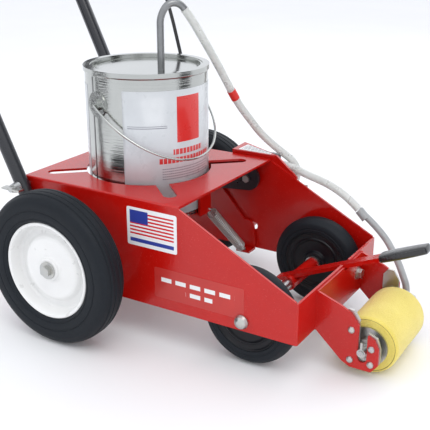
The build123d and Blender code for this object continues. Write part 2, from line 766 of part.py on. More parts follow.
def wing_nut(side):
    """Zinc wing nut that clamps the handle."""
    x = handle_x(clamp_height)
    y = side * (tube_y + tube_radius + 0.3)
    hub = turned_y([(bolt_radius, 0), (8.0, 0), (6.0, 9), (bolt_radius, 9)], x, y, clamp_height, outward=side)
    for turn in (-1, 1):
        wing = Pos(x + turn * 9.5, y + side * 9, clamp_height) * Rot(90, 0, 0) * Cylinder(6.0, 10.0)
        flat = Pos(x + turn * 9.5, y + side * 9, clamp_height) * Box(14, 16, 2.4)
        hub += wing & flat
    return hub - rod_y(bolt_radius, -300, 300, x, clamp_height)


def lever_bracket():
    """Clamp on the left handle tube that carries the hand lever and ends the cable's jacket."""
    x, y, z = handle_point(control_z, 1)
    clamp = rod(handle_point(control_z - 42, 1), handle_point(control_z + 12, 1), tube_radius + 4)
    tongue = block(x + 6, hand_pivot[0] + 8, y - 3, y + 3, z - 12, z + 12)
    body = clamp + tongue
    body -= rod(handle_point(control_z - 90, 1), handle_point(control_z + 40, 1), tube_radius + 0.02)
    body -= rod_y(3.05, y - 20, y + 20, hand_pivot[0], hand_pivot[2])
    stop = rod(cable_stop_foot, cable_stop_top, 4.5)
    clamp_low_x = handle_x(cable_stop_top[2]) + tube_radius + 3
    link = block(clamp_low_x, cable_stop_top[0] + 3, y - 3, y + 3, cable_points[-1][2] + 4, cable_stop_top[2] - 2)
    link -= rod(handle_point(control_z - 90, 1), handle_point(control_z + 40, 1), tube_radius + 0.02)
    return body + link + stop


def hand_lever():
    """Hand lever with two cheeks beside the bracket's tongue and a reach along the grip side."""
    x, y, z = hand_pivot
    lever = Part()
    for y0 in (y - 5.4, y + 3.4):
        cheek = rod_y(8.0, y0, y0 + 2.0, x, z)
        cheek += plate_y([(x - 7, z), (x + 7, z), (x + 7 - hand_rise[0], z + hand_rise[1]),
                          (x - 3 - hand_rise[0], z + hand_rise[1])], y0, y0 + 2.0)
        lever += cheek - rod_y(3.05, y0 - 1, y0 + 3, x, z)
    top = (x + 2 - hand_rise[0], z + hand_rise[1])
    lever += block(top[0] - 5, top[0] + 5, y - 5.4, y + 5.4, top[1] - 4, top[1])
    handle_end = (top[0] - hand_reach[0], y, top[1] + hand_reach[1])
    return lever + rod((top[0], y, top[1] - 2), handle_end, 4.0)


def hand_pin():
    """Pin of the hand lever."""
    x, y, z = hand_pivot
    return rod_y(3.0, y - 6.5, y + 6.5, x, z)


# ---------------------------------------------------------------- pump and its drive
def pump_housing():
    """Pump bowl, open outwards, with the two hose spigots towards the front."""
    y0 = half_width + sheet
    bowl = rod_y(pump_radius, y0, y0 + pump_depth, pump_x, pump_z)
    bowl += block(pump_x, pump_x + pump_radius, y0, y0 + pump_depth, pump_z - pump_radius, pump_z + pump_radius)
    bowl -= rod_y(pump_radius - pump_wall, y0 + pump_wall, y0 + pump_depth + 1, pump_x, pump_z)
    bowl -= rod_y(rotor_shaft_radius + run_gap, y0 - 1, y0 + 10, pump_x, pump_z)
    for z, y in ((pump_z + loop_radius, outlet_y), (pump_z - loop_radius, inlet_y)):
        bowl -= rod((pump_x, y, z), (pump_x + 60, y, z), pump_tube_radius + 0.1)
    return bowl


def pump_cover():
    """Clear cover of the pump bowl."""
    y0 = half_width + sheet + pump_depth
    cover = rod_y(pump_radius, y0, y0 + 3.0, pump_x, pump_z)
    cover += block(pump_x, pump_x + pump_radius, y0, y0 + 3.0, pump_z - pump_radius, pump_z + pump_radius)
    return cover - rod_y(rotor_shaft_radius + run_gap, y0 - 1, y0 + 9, pump_x, pump_z)


def pump_carrier():
    """Rotor plates and shaft, with the belt pulley on the shaft's outer end."""
    y0 = half_width + sheet + pump_wall + 1.0
    y1 = half_width + sheet + pump_depth - 1.0
    rotor = rod_y(rotor_shaft_radius, half_width + sheet + 0.5, belt_y + 5, pump_x, pump_z)
    for start in (y0, y1 - 3):
        rotor += rod_y(15.0, start, start + 3, pump_x, pump_z)
    for turn in (90, 210, 330):
        x = pump_x + roller_orbit * cos(radians(turn))
        z = pump_z + roller_orbit * sin(radians(turn))
        rotor += rod_y(2.0, y0, y1, x, z)
    return rotor + pulley(pump_z)


def pump_rotor():
    """Carrier with its three loose rollers, which squeeze the pump tube."""
    y0 = half_width + sheet + pump_wall + 4.4
    y1 = half_width + sheet + pump_depth - 4.4
    made = []
    for turn in (90, 210, 330):
        x = pump_x + roller_orbit * cos(radians(turn))
        z = pump_z + roller_orbit * sin(radians(turn))
        made.append(ring_y(squeeze_radius, 2.05, y0, y1, x, z))
    return group([pump_carrier(), *made])


def pump_tube():
    """Soft tube round the rear half of the bowl, between its two spigots."""
    end = pump_x + pump_radius
    back = pump_x - loop_radius
    top = pump_z + loop_radius
    low = pump_z - loop_radius
    path = FilletPolyline((end, outlet_y, top), (back, outlet_y, top), (back, inlet_y, low), (end, inlet_y, low),
                          radius=0.95 * loop_radius)
    plane = Plane(origin=(end, outlet_y, top), z_dir=(-1, 0, 0))
    return sweep(plane * Circle(pump_tube_radius), path=Wire(path.edges()))


def drive_arm():
    """Swinging plate inside the left panel, with the drive wheel's shaft and a lug for the spring."""
    y0 = inner_face - 2 - sheet
    outline = [(pump_x - 70, pump_z - 24), (pump_x - 66, pump_z - 41), (pump_x - 10, pump_z - 108),
               (pump_x + 12, pump_z - 110), (pump_x + 13, pump_z - 98), (pump_x + 10, pump_z - 74),
               (pump_x + 3, pump_z - 66), (pump_x - 7, pump_z - 66), (pump_x - 44, pump_z - 24),
               (pump_x - 42, pump_z - 2), (pump_x - 60, pump_z + 1), (pump_x - 70, pump_z - 8)]
    arm = plate_y(outline, y0, y0 + sheet)
    arm += block(pump_x - 10, pump_x + 12, lug_y0, y0 + sheet, pump_z - 112, pump_z - 109)
    arm -= rod((spring_foot[0], spring_foot[1], 0), (spring_foot[0], spring_foot[1], 80), spring_hook_wire + 0.8)
    arm += rod_y(2.2, y0 - 7, y0, arm_wire_points[-1][0], arm_wire_points[-1][2] - 2.9)
    shaft_end = rear_wheel_y + drive_width / 2 + 6
    return arm + rod_y(drive_shaft_radius, y0, shaft_end, pump_x, pump_z - drive_drop)


def arm_stiffener():
    """Black bar bolted over the swinging plate."""
    y1 = inner_face - 2 - sheet
    y0 = y1 - 5.0
    rear_x = pump_x - 58
    rear_z = pump_z - 9
    bar = rod_y(19.0, y0, y1, pump_x, pump_z + 1) + rod_y(14.0, y0, y1, rear_x, rear_z)
    bar += plate_y([(rear_x + 1, rear_z - 13.9), (pump_x + 3, pump_z - 17.7), (pump_x - 2, pump_z + 19.8),
                    (rear_x - 2, rear_z + 13.8)], y0, y1)
    return bar - rod_y(pivot_bolt_radius + run_gap, 0, 300, pump_x, pump_z)


def pivot_bolt():
    """Bolt that the swinging plate turns on."""
    head = inner_face - 2 - sheet - 5.0 - 0.4
    return bolt((pump_x, head, pump_z), (pump_x, half_width + sheet, pump_z), pivot_bolt_radius, 4.0, 10.0)


def drive_wheel():
    """Knurled wheel that the left rear tyre turns, with its belt pulley."""
    radius = hypot(pump_x, pump_z - drive_drop - rear_axle_z) - rear_radius - drive_gap
    y0 = rear_wheel_y - drive_width / 2
    wheel = rod_y(radius, y0, y0 + drive_width, pump_x, pump_z - drive_drop)
    wheel += rod_y(pulley_radius - 3, belt_y - 4, y0, pump_x, pump_z - drive_drop)
    wheel += pulley(pump_z - drive_drop)
    return wheel - rod_y(drive_shaft_radius + run_gap, 100, 300, pump_x, pump_z - drive_drop)


def pulley(z):
    """Grooved belt pulley centred on belt_y."""
    profile = [(0, -4), (pulley_radius, -4), (pulley_radius - 2.2, 0), (pulley_radius, 4), (0, 4)]
    return turned_y(profile, pump_x, belt_y, z)


def drive_belt():
    """Round belt between the two pulleys."""
    radius = 1.9
    offset = pulley_radius + 0.2
    low = pump_z - drive_drop
    straight = rod((pump_x - offset, belt_y, low), (pump_x - offset, belt_y, pump_z), radius)
    straight += rod((pump_x + offset, belt_y, low), (pump_x + offset, belt_y, pump_z), radius)
    for z, z0, z1 in ((pump_z, pump_z, pump_z + 20), (low, low - 20, low)):
        arc = Pos(pump_x, belt_y, z) * Rot(90, 0, 0) * Torus(offset, radius)
        straight += arc & block(pump_x - 20, pump_x + 20, belt_y - 5, belt_y + 5, z0, z1)
    return straight


def pump_guard():
    """Bent guard over the pump: a web on the side panel, a top flange and a sloping flange."""
    top = deck_top + 5.0
    rear = pump_x - 32
    front = deck_front + 8
    end = deck_front + 41
    edge_z = deck_top - (end - deck_front) * nose_slope
    web = plate_y([(rear, deck_top - 22), (front, deck_top - 22), (end, edge_z), (front, top), (rear, top)],
                  half_width, half_width + sheet)
    web -= rod_y(rotor_shaft_radius + 2, 0, 300, pump_x, pump_z)
    flange = plate_z([(rear, half_width), (rear - 3, half_width + 43), (front - 4, half_width + 6),
                      (front, half_width)], top - sheet, top)
    return web + flange + sloping_flange(front, end, top, edge_z)


def sloping_flange(front, end, top, edge_z):
    """Flange that runs down the sloping edge and narrows to a point."""
    bar = plate_y([(front - 2, top - sheet), (end, edge_z - sheet), (end, edge_z), (front - 2, top)],
                  half_width, half_width + 12)
    keep = plate_z([(front - 5, half_width), (front - 5, half_width + 6.5), (end, half_width + sheet),
                    (end, half_width)], 0, 300)
    return bar & keep


def extension_spring():
    """Outer shape of the closed coils and the two hook shanks, as one soft solid."""
    top = Vector(*spring_top)
    foot = Vector(*spring_foot)
    axis = (foot - top).normalized()
    body = rod(tuple(top + axis * 8), tuple(foot - axis * 10), spring_radius)
    body += rod(tuple(top + axis * 7), tuple(top + axis * 9), spring_hook_wire)
    body += rod(tuple(foot - axis * 11), tuple(foot - axis * 4.6), spring_hook_wire)
    return body


def hose_clip(place):
    """Small P-clip on the side panel with its screw."""
    x, z = place
    clip = block(x - 4, x + 4, half_width, half_width + 2.0, z - 14, z - 2)
    return clip + rod((x, half_width, z - 9), (x, half_width + 4.5, z - 9), 3.5)


# ---------------------------------------------------------------- can
def can_body():
    """Open tin can with a ridged ring at its mouth."""
    wall = can_radius - can_wall
    profile = [(0, can_bottom + 3), (wall, can_bottom + 3), (wall, can_top - 12), (can_lid_radius, can_top - 9),
               (can_lid_radius, can_top), (can_ring, can_top), (can_ring, can_top - 6), (can_radius, can_top - 8),
               (can_radius, can_bottom + 3), (can_radius + 1, can_bottom + 2), (can_radius + 1, can_bottom),
               (can_radius - 2, can_bottom), (can_radius - 2, can_bottom + 1.5), (0, can_bottom + 1.5)]
    return turned_z(profile, can_x, 0)


def can_lid():
    """Pressed lid, sunk into the ring, with a hole for the suction pipe."""
    outer = can_lid_radius - 0.05
    profile = [(0, can_top - 5), (outer - 8, can_top - 5), (outer - 6, can_top - 8), (outer - 3, can_top - 8),
               (outer - 3, can_top - 1), (outer, can_top - 1), (outer, can_top - 9), (outer - 7, can_top - 9.4),
               (outer - 9, can_top - 6.2), (0, can_top - 6.2)]
    lid = turned_z(profile, can_x, 0)
    return lid - rod((*pipe_place, 300), (*pipe_place, 400), pipe_radius + 0.02)


def ear_direction(sign):
    """Unit vector from the can's axis to one of the bail's ears."""
    angle = radians(ear_angle)
    return Vector(sign * cos(angle), sign * sin(angle), 0)


def can_ears():
    """Pressed discs with a hollow knob that hold the bail's ends."""
    made = []
    for sign in (-1, 1):
        out = ear_direction(sign)
        centre = Vector(can_x, 0, ear_height)
        disc = rod(tuple(centre + out * (can_radius - 2)), tuple(centre + out * (can_radius + 1.5)), 17.0)
        disc -= Pos(can_x, 0, 0) * Cylinder(can_radius + 0.03, 1000)
        knob = rod(tuple(centre + out * (can_radius + 1)), tuple(centre + out * (can_radius + 5.0)), 8.0)
        bore = rod(tuple(centre + out * (can_radius + 1.5)), tuple(centre + out * (can_radius + 9)), bail_wire + 0.05)
        made.append(disc + knob - bore)
    return group(made)


def can_bail():
    """Wire bail: half an ellipse whose ends turn into the ears."""
    angle = radians(bail_tilt)
    along = ear_direction(1)
    front = Vector(-along.Y, along.X, 0)
    if front.X < 0:
        front = front * -1
    down = Vector(0, 0, -1) * cos(angle) + front * sin(angle)
    centre = Vector(can_x, 0, ear_height)
    points = []
    steps = 12
    for step in range(steps + 1):
        turn = pi * step / steps
        points.append(centre + along * (bail_half_width * cos(turn)) + down * (bail_length * sin(turn)))
    wire = tube_along([tuple(p) for p in points], bail_wire, "can_bail")
    for sign, point in ((1, points[0]), (-1, points[-1])):
        out = along * sign
        inner = centre + out * (can_radius + 2.2)
        wire += rod(tuple(inner), tuple(point + out * bail_wire), bail_wire)
    return wire


def suction_pipe():
    """Rigid pipe from the can's floor, up through the lid and bent over towards the pump."""
    return tube_along(suction_pipe_points, pipe_radius, "suction_pipe", bore=pipe_bore)


# ---------------------------------------------------------------- pieces grouped into one node
def cable_ferrule():
    """Threaded end of the cable's jacket, held in the deck."""
    x, y = cable_deck
    ferrule = rod((x, y, deck_under - 2), (x, y, cable_start), cable_hole - 0.05)
    ferrule += hexagon(13.0, (x, y, deck_top), (x, y, deck_top + 4))
    return ferrule - rod((x, y, 0), (x, y, 400), 1.2)


def arm_wire():
    """Inner wire of the push-pull cable, from the deck to the swinging plate."""
    return tube_along(arm_wire_points, 1.0, "arm_wire")


def feed_ferrule():
    """Crimped ferrule where the hose goes over the feed pipe."""
    start = Vector(*feed_points[0])
    axis = (Vector(*feed_points[1]) - start).normalized()
    outer = rod(tuple(start + axis * 0.6), tuple(start + axis * 16), pipe_radius + 1.6)
    return outer - rod(tuple(start - axis), tuple(start + axis * 17), pipe_radius + 0.02)


def rear_wheel_bolts():
    """Wheel bolts with their washers."""
    return group([*[wheel_washer(side) for side in (-1, 1)], *[wheel_bolt(side) for side in (-1, 1)]])


def axle_spacers():
    """Spacers of the rear axle and washers of the front axle."""
    return group([front_washers(), rear_spacer(-1), rear_spacer(1)])


def frame_bolts():
    """Bracket bolts with washers and nuts, and the pivot bolt of the swinging plate."""
    made = [pivot_bolt()]
    for side in (-1, 1):
        made += [bracket_bolt(side), bracket_washer(side), bracket_nut(side)]
    return group(made)


def axle_retainers():
    """Collars and clip on the hollow axle."""
    return group([axle_collar(-1), axle_collar(1), axle_clip()])


def fold_fasteners():
    """Fold bolts with their nuts and spacers."""
    made = []
    for side in (-1, 1):
        made += [fold_bolt(side), fold_nut(side), fold_spacer(side)]
    return group(made)


def wing_fasteners():
    """Wing bolts and wing nuts."""
    return group([make(side) for side in (-1, 1) for make in (wing_bolt, wing_nut)])


def hose_clips():
    """P-clips of the delivery hose."""
    return group([hose_clip(place) for place in clip_places])


# ---------------------------------------------------------------- every piece by name
pieces = {
    "deck_plate": deck_plate(),
    "right_side_panel": side_panel(-1),
    "left_side_panel": side_panel(1),
    "front_panel": front_panel(),
    "rear_panel": rear_panel(),
    "can_cradle": can_cradle(),
    "pump_guard": pump_guard(),
    "rear_axle": rear_axle(),
    "rear_wheel_bolts": rear_wheel_bolts(),
    "axle_spacers": axle_spacers(),
    "front_axle": front_axle(),
    "front_axle_caps": both_sides(axle_cap),
    "front_lever": front_lever(),
    "lever_grip": lever_grip(),
    "roller_bracket": roller_bracket(),
    "bearing_plates": both_sides(bearing_plate),
    "bracket_rivets": rivets(),
    "frame_bolts": frame_bolts(),
    "foam_sleeve": foam_sleeve(),
    "roller_core": roller_core(),
    "roller_end_discs": both_sides(end_disc),
    "hollow_axle": hollow_axle(),
    "axle_retainers": axle_retainers(),
    "feed_fittings": group([axle_fitting(), feed_ferrule()]),
    "feed_pipe": tube_along(feed_points, pipe_radius, "feed_pipe", bore=pipe_bore),
    "handle_crossbar": handle_crossbar(),
    "handle_grip": handle_grip(),
    "fold_bolts": fold_fasteners(),
    "wing_bolts": wing_fasteners(),
    "lever_bracket": group([lever_bracket(), hand_pin()]),
    "hand_lever": hand_lever(),
    "pump_housing": pump_housing(),
    "pump_cover": pump_cover(),
    "pump_rotor": pump_rotor(),
    "pump_tube": pump_tube(),
    "drive_arm": drive_arm(),
    "arm_stiffener": arm_stiffener(),
    "drive_wheel": drive_wheel(),
    "drive_belt": drive_belt(),
    "extension_spring": extension_spring(),
    "hose_clips": group([hose_clips(), cable_ferrule()]),
    "arm_wire": arm_wire(),
    "control_cable": tube_along(cable_points, cable_radius, "control_cable"),
    "suction_hose": tube_along(suction_points, hose_radius, "suction_hose"),
    "delivery_hose": tube_along(delivery_points, hose_radius, "delivery_hose"),
    "suction_pipe": suction_pipe(),
    "can_body": can_body(),
    "can_lid": can_lid(),
    "can_ears": can_ears(),
    "can_bail": can_bail(),
}
for name, side in (("right", -1), ("left", 1)):
    pieces[f"{name}_handle_tube"] = handle_side_tube(side)
    pieces[f"{name}_rear_tyre"] = rear_tyre(side)
    pieces[f"{name}_rear_rim"] = rear_rim(side)
    pieces[f"{name}_front_tyre"] = front_tyre(side)
    pieces[f"{name}_front_core"] = front_core(side)

# ---------------------------------------------------------------- origin and export
CORDS = ("control_cable", "suction_hose", "delivery_hose")
hard = Compound(children=[s for name, piece in pieces.items() if name not in CORDS for s in piece.solids()])
box = hard.bounding_box()
shift = (-(box.min.X + box.max.X) / 2, -(box.min.Y + box.max.Y) / 2, -box.min.Z)

if __name__ == "__main__":
    os.makedirs("parts", exist_ok=True)
    for name, piece in pieces.items():
        moved = Pos(*shift) * Compound(children=list(piece.solids()))
        export_step(moved, f"parts/{name}.step")
    print(len(pieces), "pieces, shift", [round(value, 3) for value in shift])
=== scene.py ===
import math
import bmesh
import bpy
from mathutils import Matrix, Vector


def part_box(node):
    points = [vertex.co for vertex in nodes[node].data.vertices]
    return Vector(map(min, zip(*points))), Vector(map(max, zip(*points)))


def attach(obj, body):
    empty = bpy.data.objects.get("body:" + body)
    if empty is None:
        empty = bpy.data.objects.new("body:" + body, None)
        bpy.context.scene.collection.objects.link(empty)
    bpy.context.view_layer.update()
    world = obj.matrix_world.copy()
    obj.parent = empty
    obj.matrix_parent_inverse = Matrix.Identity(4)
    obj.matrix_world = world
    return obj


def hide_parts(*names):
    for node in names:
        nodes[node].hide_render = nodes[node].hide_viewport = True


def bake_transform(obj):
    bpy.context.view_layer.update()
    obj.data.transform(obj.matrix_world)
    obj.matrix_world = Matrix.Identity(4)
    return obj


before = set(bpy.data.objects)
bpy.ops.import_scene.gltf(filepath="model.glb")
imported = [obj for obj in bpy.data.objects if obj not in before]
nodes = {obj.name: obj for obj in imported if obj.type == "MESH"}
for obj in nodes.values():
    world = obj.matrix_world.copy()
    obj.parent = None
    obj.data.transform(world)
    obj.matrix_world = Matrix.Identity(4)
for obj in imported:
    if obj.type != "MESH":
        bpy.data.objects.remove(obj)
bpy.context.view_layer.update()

can_x = sum(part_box("can_body")[i][0] for i in (0, 1)) / 2
ground = min(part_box(name)[0][2] for name in ("left_rear_tyre", "left_front_tyre"))

# ---------------------------------------------------------------- studio
# A plain pale floor under soft boxes. The camera looks at the machine's right front corner from
# a little above the can, with a short telephoto lens.
camera = bpy.data.objects.new("camera", bpy.data.cameras.new("camera"))
bpy.context.collection.objects.link(camera)
camera.data.lens = 68.7
camera.data.sensor_width = 36.0
camera.data.clip_start = 0.01
camera.data.clip_end = 100.0
camera.location = (0.6871, -0.8913, 0.5294)
camera.rotation_euler = Vector((-0.4862, 0.8009, -0.3494)).to_track_quat("-Z", "Y").to_euler()
bpy.context.scene.camera = camera
bpy.context.scene.view_settings.view_transform = "Standard"

world = bpy.data.worlds.new("studio")
bpy.context.scene.world = world
world.use_nodes = True
world.node_tree.nodes["Background"].inputs["Color"].default_value = (0.93, 0.95, 1.0, 1.0)
world.node_tree.nodes["Background"].inputs["Strength"].default_value = 1.12


def soft_box(name, place, aim, size, watts, colour=(1.0, 1.0, 1.0)):
    """A square area light at a place, aimed at a point."""
    lamp = bpy.data.lights.new(name, "AREA")
    lamp.energy = watts
    lamp.size = size
    lamp.color = colour
    lamp_object = bpy.data.objects.new(name, lamp)
    lamp_object.location = place
    lamp_object.rotation_euler = (Vector(aim) - Vector(place)).to_track_quat("-Z", "Y").to_euler()
    bpy.context.collection.objects.link(lamp_object)


soft_box("key_box", (1.1, -0.9, 2.1), (0.1, 0.0, 0.2), 1.3, 12.0, (1.0, 0.98, 0.95))
soft_box("left_box", (-1.5, -1.4, 1.5), (0.0, 0.0, 0.2), 1.2, 6.0, (0.96, 0.98, 1.0))
soft_box("back_box", (0.2, 2.0, 1.6), (0.0, 0.0, 0.1), 1.6, 7.0)

floor = bpy.data.objects.new("floor", bpy.data.meshes.new("floor"))
floor.data.from_pydata([(-20, -20, ground - 0.0006), (20, -20, ground - 0.0006), (20, 20, ground - 0.0006),
                        (-20, 20, ground - 0.0006)], [], [(0, 1, 2, 3)])
bpy.context.collection.objects.link(floor)

# Two dark cards stand outside the picture, so that the polished can has dark upright bands to mirror.
dark = bpy.data.materials.new("dark_card")
dark.use_nodes = True
dark.node_tree.nodes["Principled BSDF"].inputs["Base Color"].default_value = (0.01, 0.01, 0.012, 1.0)
dark.node_tree.nodes["Principled BSDF"].inputs["Roughness"].default_value = 1.0
for name, near, far in (("dark_card_left", (-1.35, -0.75), (-1.0, -1.35)),
                        ("dark_card_right", (1.25, 0.1), (1.35, 0.75))):
    card = bpy.data.objects.new(name, bpy.data.meshes.new(name))
    card.data.from_pydata([(*near, ground), (*far, ground), (*far, 1.6), (*near, 1.6)], [], [(0, 1, 2, 3)])
    card.data.materials.append(dark)
    card.visible_camera = False
    card.visible_diffuse = False
    card.visible_shadow = False
    bpy.context.collection.objects.link(card)


# ---------------------------------------------------------------- hoses and control cable
# The suction hose is soft translucent tube that rises from the can's steel pipe, falls to the pump
# and turns back into it. The delivery hose leaves the pump forwards, through two clips. The black
# jacketed cable climbs from the deck to the hand lever. Each is cut to length and pushed on.
class Wire:
    """One socket of a material. Sums written with it add the nodes that work them out."""

    def __init__(self, tree, socket):
        self.tree = tree
        self.socket = socket

    def make(self, kind, values=(), out=0, **settings):
        """A node of that kind: its settings first, then a value or a link for each socket."""
        node = self.tree.nodes.new(kind)
        for name, value in settings.items():
            setattr(node, name, value)
        for key, value in dict(values).items():
            if isinstance(value, Wire):
                self.tree.links.new(value.socket, node.inputs[key])
            else:
                node.inputs[key].default_value = value
        return Wire(self.tree, node.outputs[out])

    def math(self, operation, other=0.0, third=0.0):
        return self.make("ShaderNodeMath", {0: self, 1: other, 2: third}, operation=operation)

    def __add__(self, other):
        return self.math("ADD", other)

    def __sub__(self, other):
        return self.math("SUBTRACT", other)

    def __rsub__(self, other):
        return self.math("MULTIPLY_ADD", -1.0, other)

    def __mul__(self, other):
        return self.math("MULTIPLY", other)

    def __truediv__(self, other):
        return self.math("DIVIDE", other)

    def __gt__(self, other):
        return self.math("GREATER_THAN", other)

    def __lt__(self, other):
        return self.math("LESS_THAN", other)

    def between(self, low, high):
        """1 where the value is between low and high, else 0."""
        return (self > low) * (self < high)

    def axes(self):
        """The X, Y and Z of a vector."""
        node = self.tree.nodes.new("ShaderNodeSeparateXYZ")
        self.tree.links.new(self.socket, node.inputs[0])
        return [Wire(self.tree, socket) for socket in node.outputs]

    def noise(self, scale, detail=3.0, rough=0.55):
        """Cloudy variation, about 0.5, at that many features to a metre."""
        return self.make("ShaderNodeTexNoise", {"Vector": self, "Scale": scale, "Detail": detail,
                                                "Roughness": rough})

    def tint(self, low, high):
        """Colour from low to high as the value goes from 0 to 1."""
        return self.make("ShaderNodeMix", {0: self, 6: (*low, 1.0), 7: (*high, 1.0)}, out=2, data_type="RGBA")

    def over(self, under, colour):
        """The colour laid over another one where the value is 1."""
        return self.make("ShaderNodeMix", {0: self, 6: under, 7: (*colour, 1.0)}, out=2, data_type="RGBA")

    def bump(self, height):
        """Surface relief from the value, of that height in metres."""
        return self.make("ShaderNodeBump", {"Height": self, "Distance": height, "Strength": 1.0})


def finish(name, recipe):
    """A material whose surface inputs come from recipe(place), place being the object coordinates."""
    material = bpy.data.materials.new(name)
    material.use_nodes = True
    tree = material.node_tree
    shader = tree.nodes["Principled BSDF"]
    place = Wire(tree, tree.nodes.new("ShaderNodeTexCoord").outputs["Object"])
    for key, value in recipe(place).items():
        if isinstance(value, Wire):
            tree.links.new(value.socket, shader.inputs[key])
        else:
            shader.inputs[key].default_value = value
    return material


def link(name, mesh, material):
    """A new piece from a mesh, with its material, its faces shaded smooth."""
    piece = bpy.data.objects.new(name, mesh)
    bpy.context.collection.objects.link(piece)
    piece.data.materials.clear()
    piece.data.materials.append(material)
    for face in piece.data.polygons:
        face.use_smooth = True
    return piece


def pull(name, route, radius, material):
    """A hose, pipe or cable round a smooth line that the route's points guide; also gives that line."""
    curve = bpy.data.curves.new(name, "CURVE")
    curve.dimensions = "3D"
    curve.resolution_u = 16
    spline = curve.splines.new("NURBS")
    spline.points.add(len(route) - 1)
    for point, place in zip(spline.points, route):
        point.co = (*place, 1.0)
    spline.order_u = 3
    spline.use_endpoint_u = True
    guide = bpy.data.objects.new(name, curve)
    bpy.context.collection.objects.link(guide)

    def as_mesh():
        bpy.context.view_layer.update()
        ready = guide.evaluated_get(bpy.context.evaluated_depsgraph_get())
        return bpy.data.meshes.new_from_object(ready)

    line = [vertex.co.copy() for vertex in as_mesh().vertices]
    curve.bevel_depth = radius
    curve.bevel_resolution = 6
    curve.use_fill_caps = True
    mesh = as_mesh()
    bpy.data.objects.remove(guide)
    mesh.name = name
    return link(name, mesh, material), line


def length_of(line):
    return sum((b - a).length for a, b in zip(line, line[1:]))


hose_look = finish("clear_hose", lambda at: {
    "Base Color": (at.noise(30) * 0.6 + at.noise(240) * 0.4).tint((0.6, 0.61, 0.58), (0.88, 0.89, 0.86)),
    "Roughness": at.noise(90) * 0.25 + 0.18,
    "Transmission Weight": 0.35,
    "IOR": 1.42,
    "Coat Weight": 0.3,
    "Subsurface Weight": 0.25,
    "Subsurface Radius": (0.01, 0.01, 0.009),
    "Normal": at.noise(60).bump(0.0006),
})
jacket = finish("cable_jacket", lambda at: {
    "Base Color": at.noise(200).tint((0.008, 0.008, 0.009), (0.022, 0.022, 0.024)),
    "Roughness": at.noise(400) * 0.2 + 0.3,
    "Normal": at.noise(900).bump(0.0001),
})
suction_route = [(0.092, 0.013, 0.4089), (0.098, 0.0205, 0.396), (0.103, 0.032, 0.377), (0.11, 0.047, 0.352),
                 (0.1185, 0.0675, 0.317), (0.128, 0.089, 0.277), (0.14, 0.104, 0.2515), (0.151, 0.121, 0.226),
                 (0.167, 0.139, 0.204), (0.1905, 0.15, 0.1849), (0.1964, 0.151, 0.1677), (0.1911, 0.149, 0.1503),
                 (0.1764, 0.144, 0.1392), (0.165, 0.144, 0.1392)]
delivery_route = [(0.165, 0.133, 0.1828), (0.179, 0.133, 0.1828), (0.193, 0.1335, 0.1815), (0.207, 0.1325, 0.178),
                  (0.221, 0.1315, 0.174), (0.237, 0.131, 0.1705), (0.258, 0.1305, 0.1645), (0.276, 0.13, 0.156),
                  (0.29, 0.13, 0.147), (0.301, 0.1299, 0.1375)]
cable_route = [(0.051, 0.1, 0.2054), (0.047, 0.101, 0.24), (0.037, 0.103, 0.288), (0.022, 0.105, 0.34),
               (0.005, 0.108, 0.395), (-0.02, 0.112, 0.45), (-0.057, 0.117, 0.505), (-0.105, 0.122, 0.56),
               (-0.16, 0.127, 0.612), (-0.217, 0.1305, 0.656), (-0.27, 0.1315, 0.69), (-0.307, 0.1315, 0.722),
               (-0.327, 0.1315, 0.755)]
suction, suction_line = pull("suction_tube", suction_route, 0.0055, hose_look)
delivery, delivery_line = pull("delivery_tube", delivery_route, 0.0055, hose_look)
cable, cable_line = pull("cable_jacket", cable_route, 0.0025, jacket)

# A red sleeve shrunk on the suction hose marks it from the delivery hose.
red_band = finish("red_sleeve", lambda at: {
    "Base Color": at.noise(150).tint((0.55, 0.012, 0.008), (0.75, 0.03, 0.02)),
    "Roughness": at.noise(300) * 0.2 + 0.3,
    "Normal": at.noise(500).bump(0.0002),
})
reach = 0.0
band_route = []
for before, after in zip(suction_line, suction_line[1:]):
    reach += (after - before).length
    if 0.134 < reach < 0.153:
        band_route.append(after)
band = pull("hose_red_sleeve", [band_route[0], band_route[len(band_route) // 2], band_route[-1]],
            0.0061, red_band)[0]
for piece, line, node, exit_at, bodies, width in (
        (suction, suction_line, "suction_hose", suction_route[0], ("can", "frame"), 0.011),
        (delivery, delivery_line, "delivery_hose", delivery_route[0], ("frame", "roller_axle"), 0.011),
        (cable, cable_line, "control_cable", cable_route[0], ("frame", "handle"), 0.005)):
    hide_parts(node)
    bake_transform(piece)
    length_of(line)
    "stiff" if node == "control_cable" else "medium"
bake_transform(band)


# ---------------------------------------------------------------- sheet steel frame
# Deck, side panels, front and rear panels, roller bracket, pump guard and can cradle are bent from
# 3 mm sheet, welded, and powder coated in a hard gloss red that has a fine orange peel.
def coat(material, *names):
    """Gives CAD nodes their finish."""
    for name in names:
        for holder in nodes[name].material_slots:
            holder.material = material


def powder(at):
    cloud = at.noise(7, 4.0)
    speck = at.noise(700, 2.0) > 0.69
    dust = at.noise(45, 6.0) * 0.35 + cloud * 0.65
    base = dust.tint((0.40, 0.003, 0.0015), (0.55, 0.008, 0.004))
    return {"Base Color": speck.over(base, (0.6, 0.05, 0.04)),
            "Roughness": cloud * 0.13 + at.noise(60) * 0.08 + 0.07,
            "Specular IOR Level": 0.4,
            "Coat Weight": 0.2,
            "Coat Roughness": 0.06,
            "Normal": (at.noise(420, 2.0) * 0.7 + at.noise(60, 2.0) * 0.3).bump(0.00035)}


red_coat = finish("red_powder_coat", powder)
coat(red_coat, "deck_plate", "right_side_panel", "left_side_panel", "front_panel", "rear_panel", "roller_bracket",
     "can_cradle", "pump_guard", "front_lever", "drive_arm")


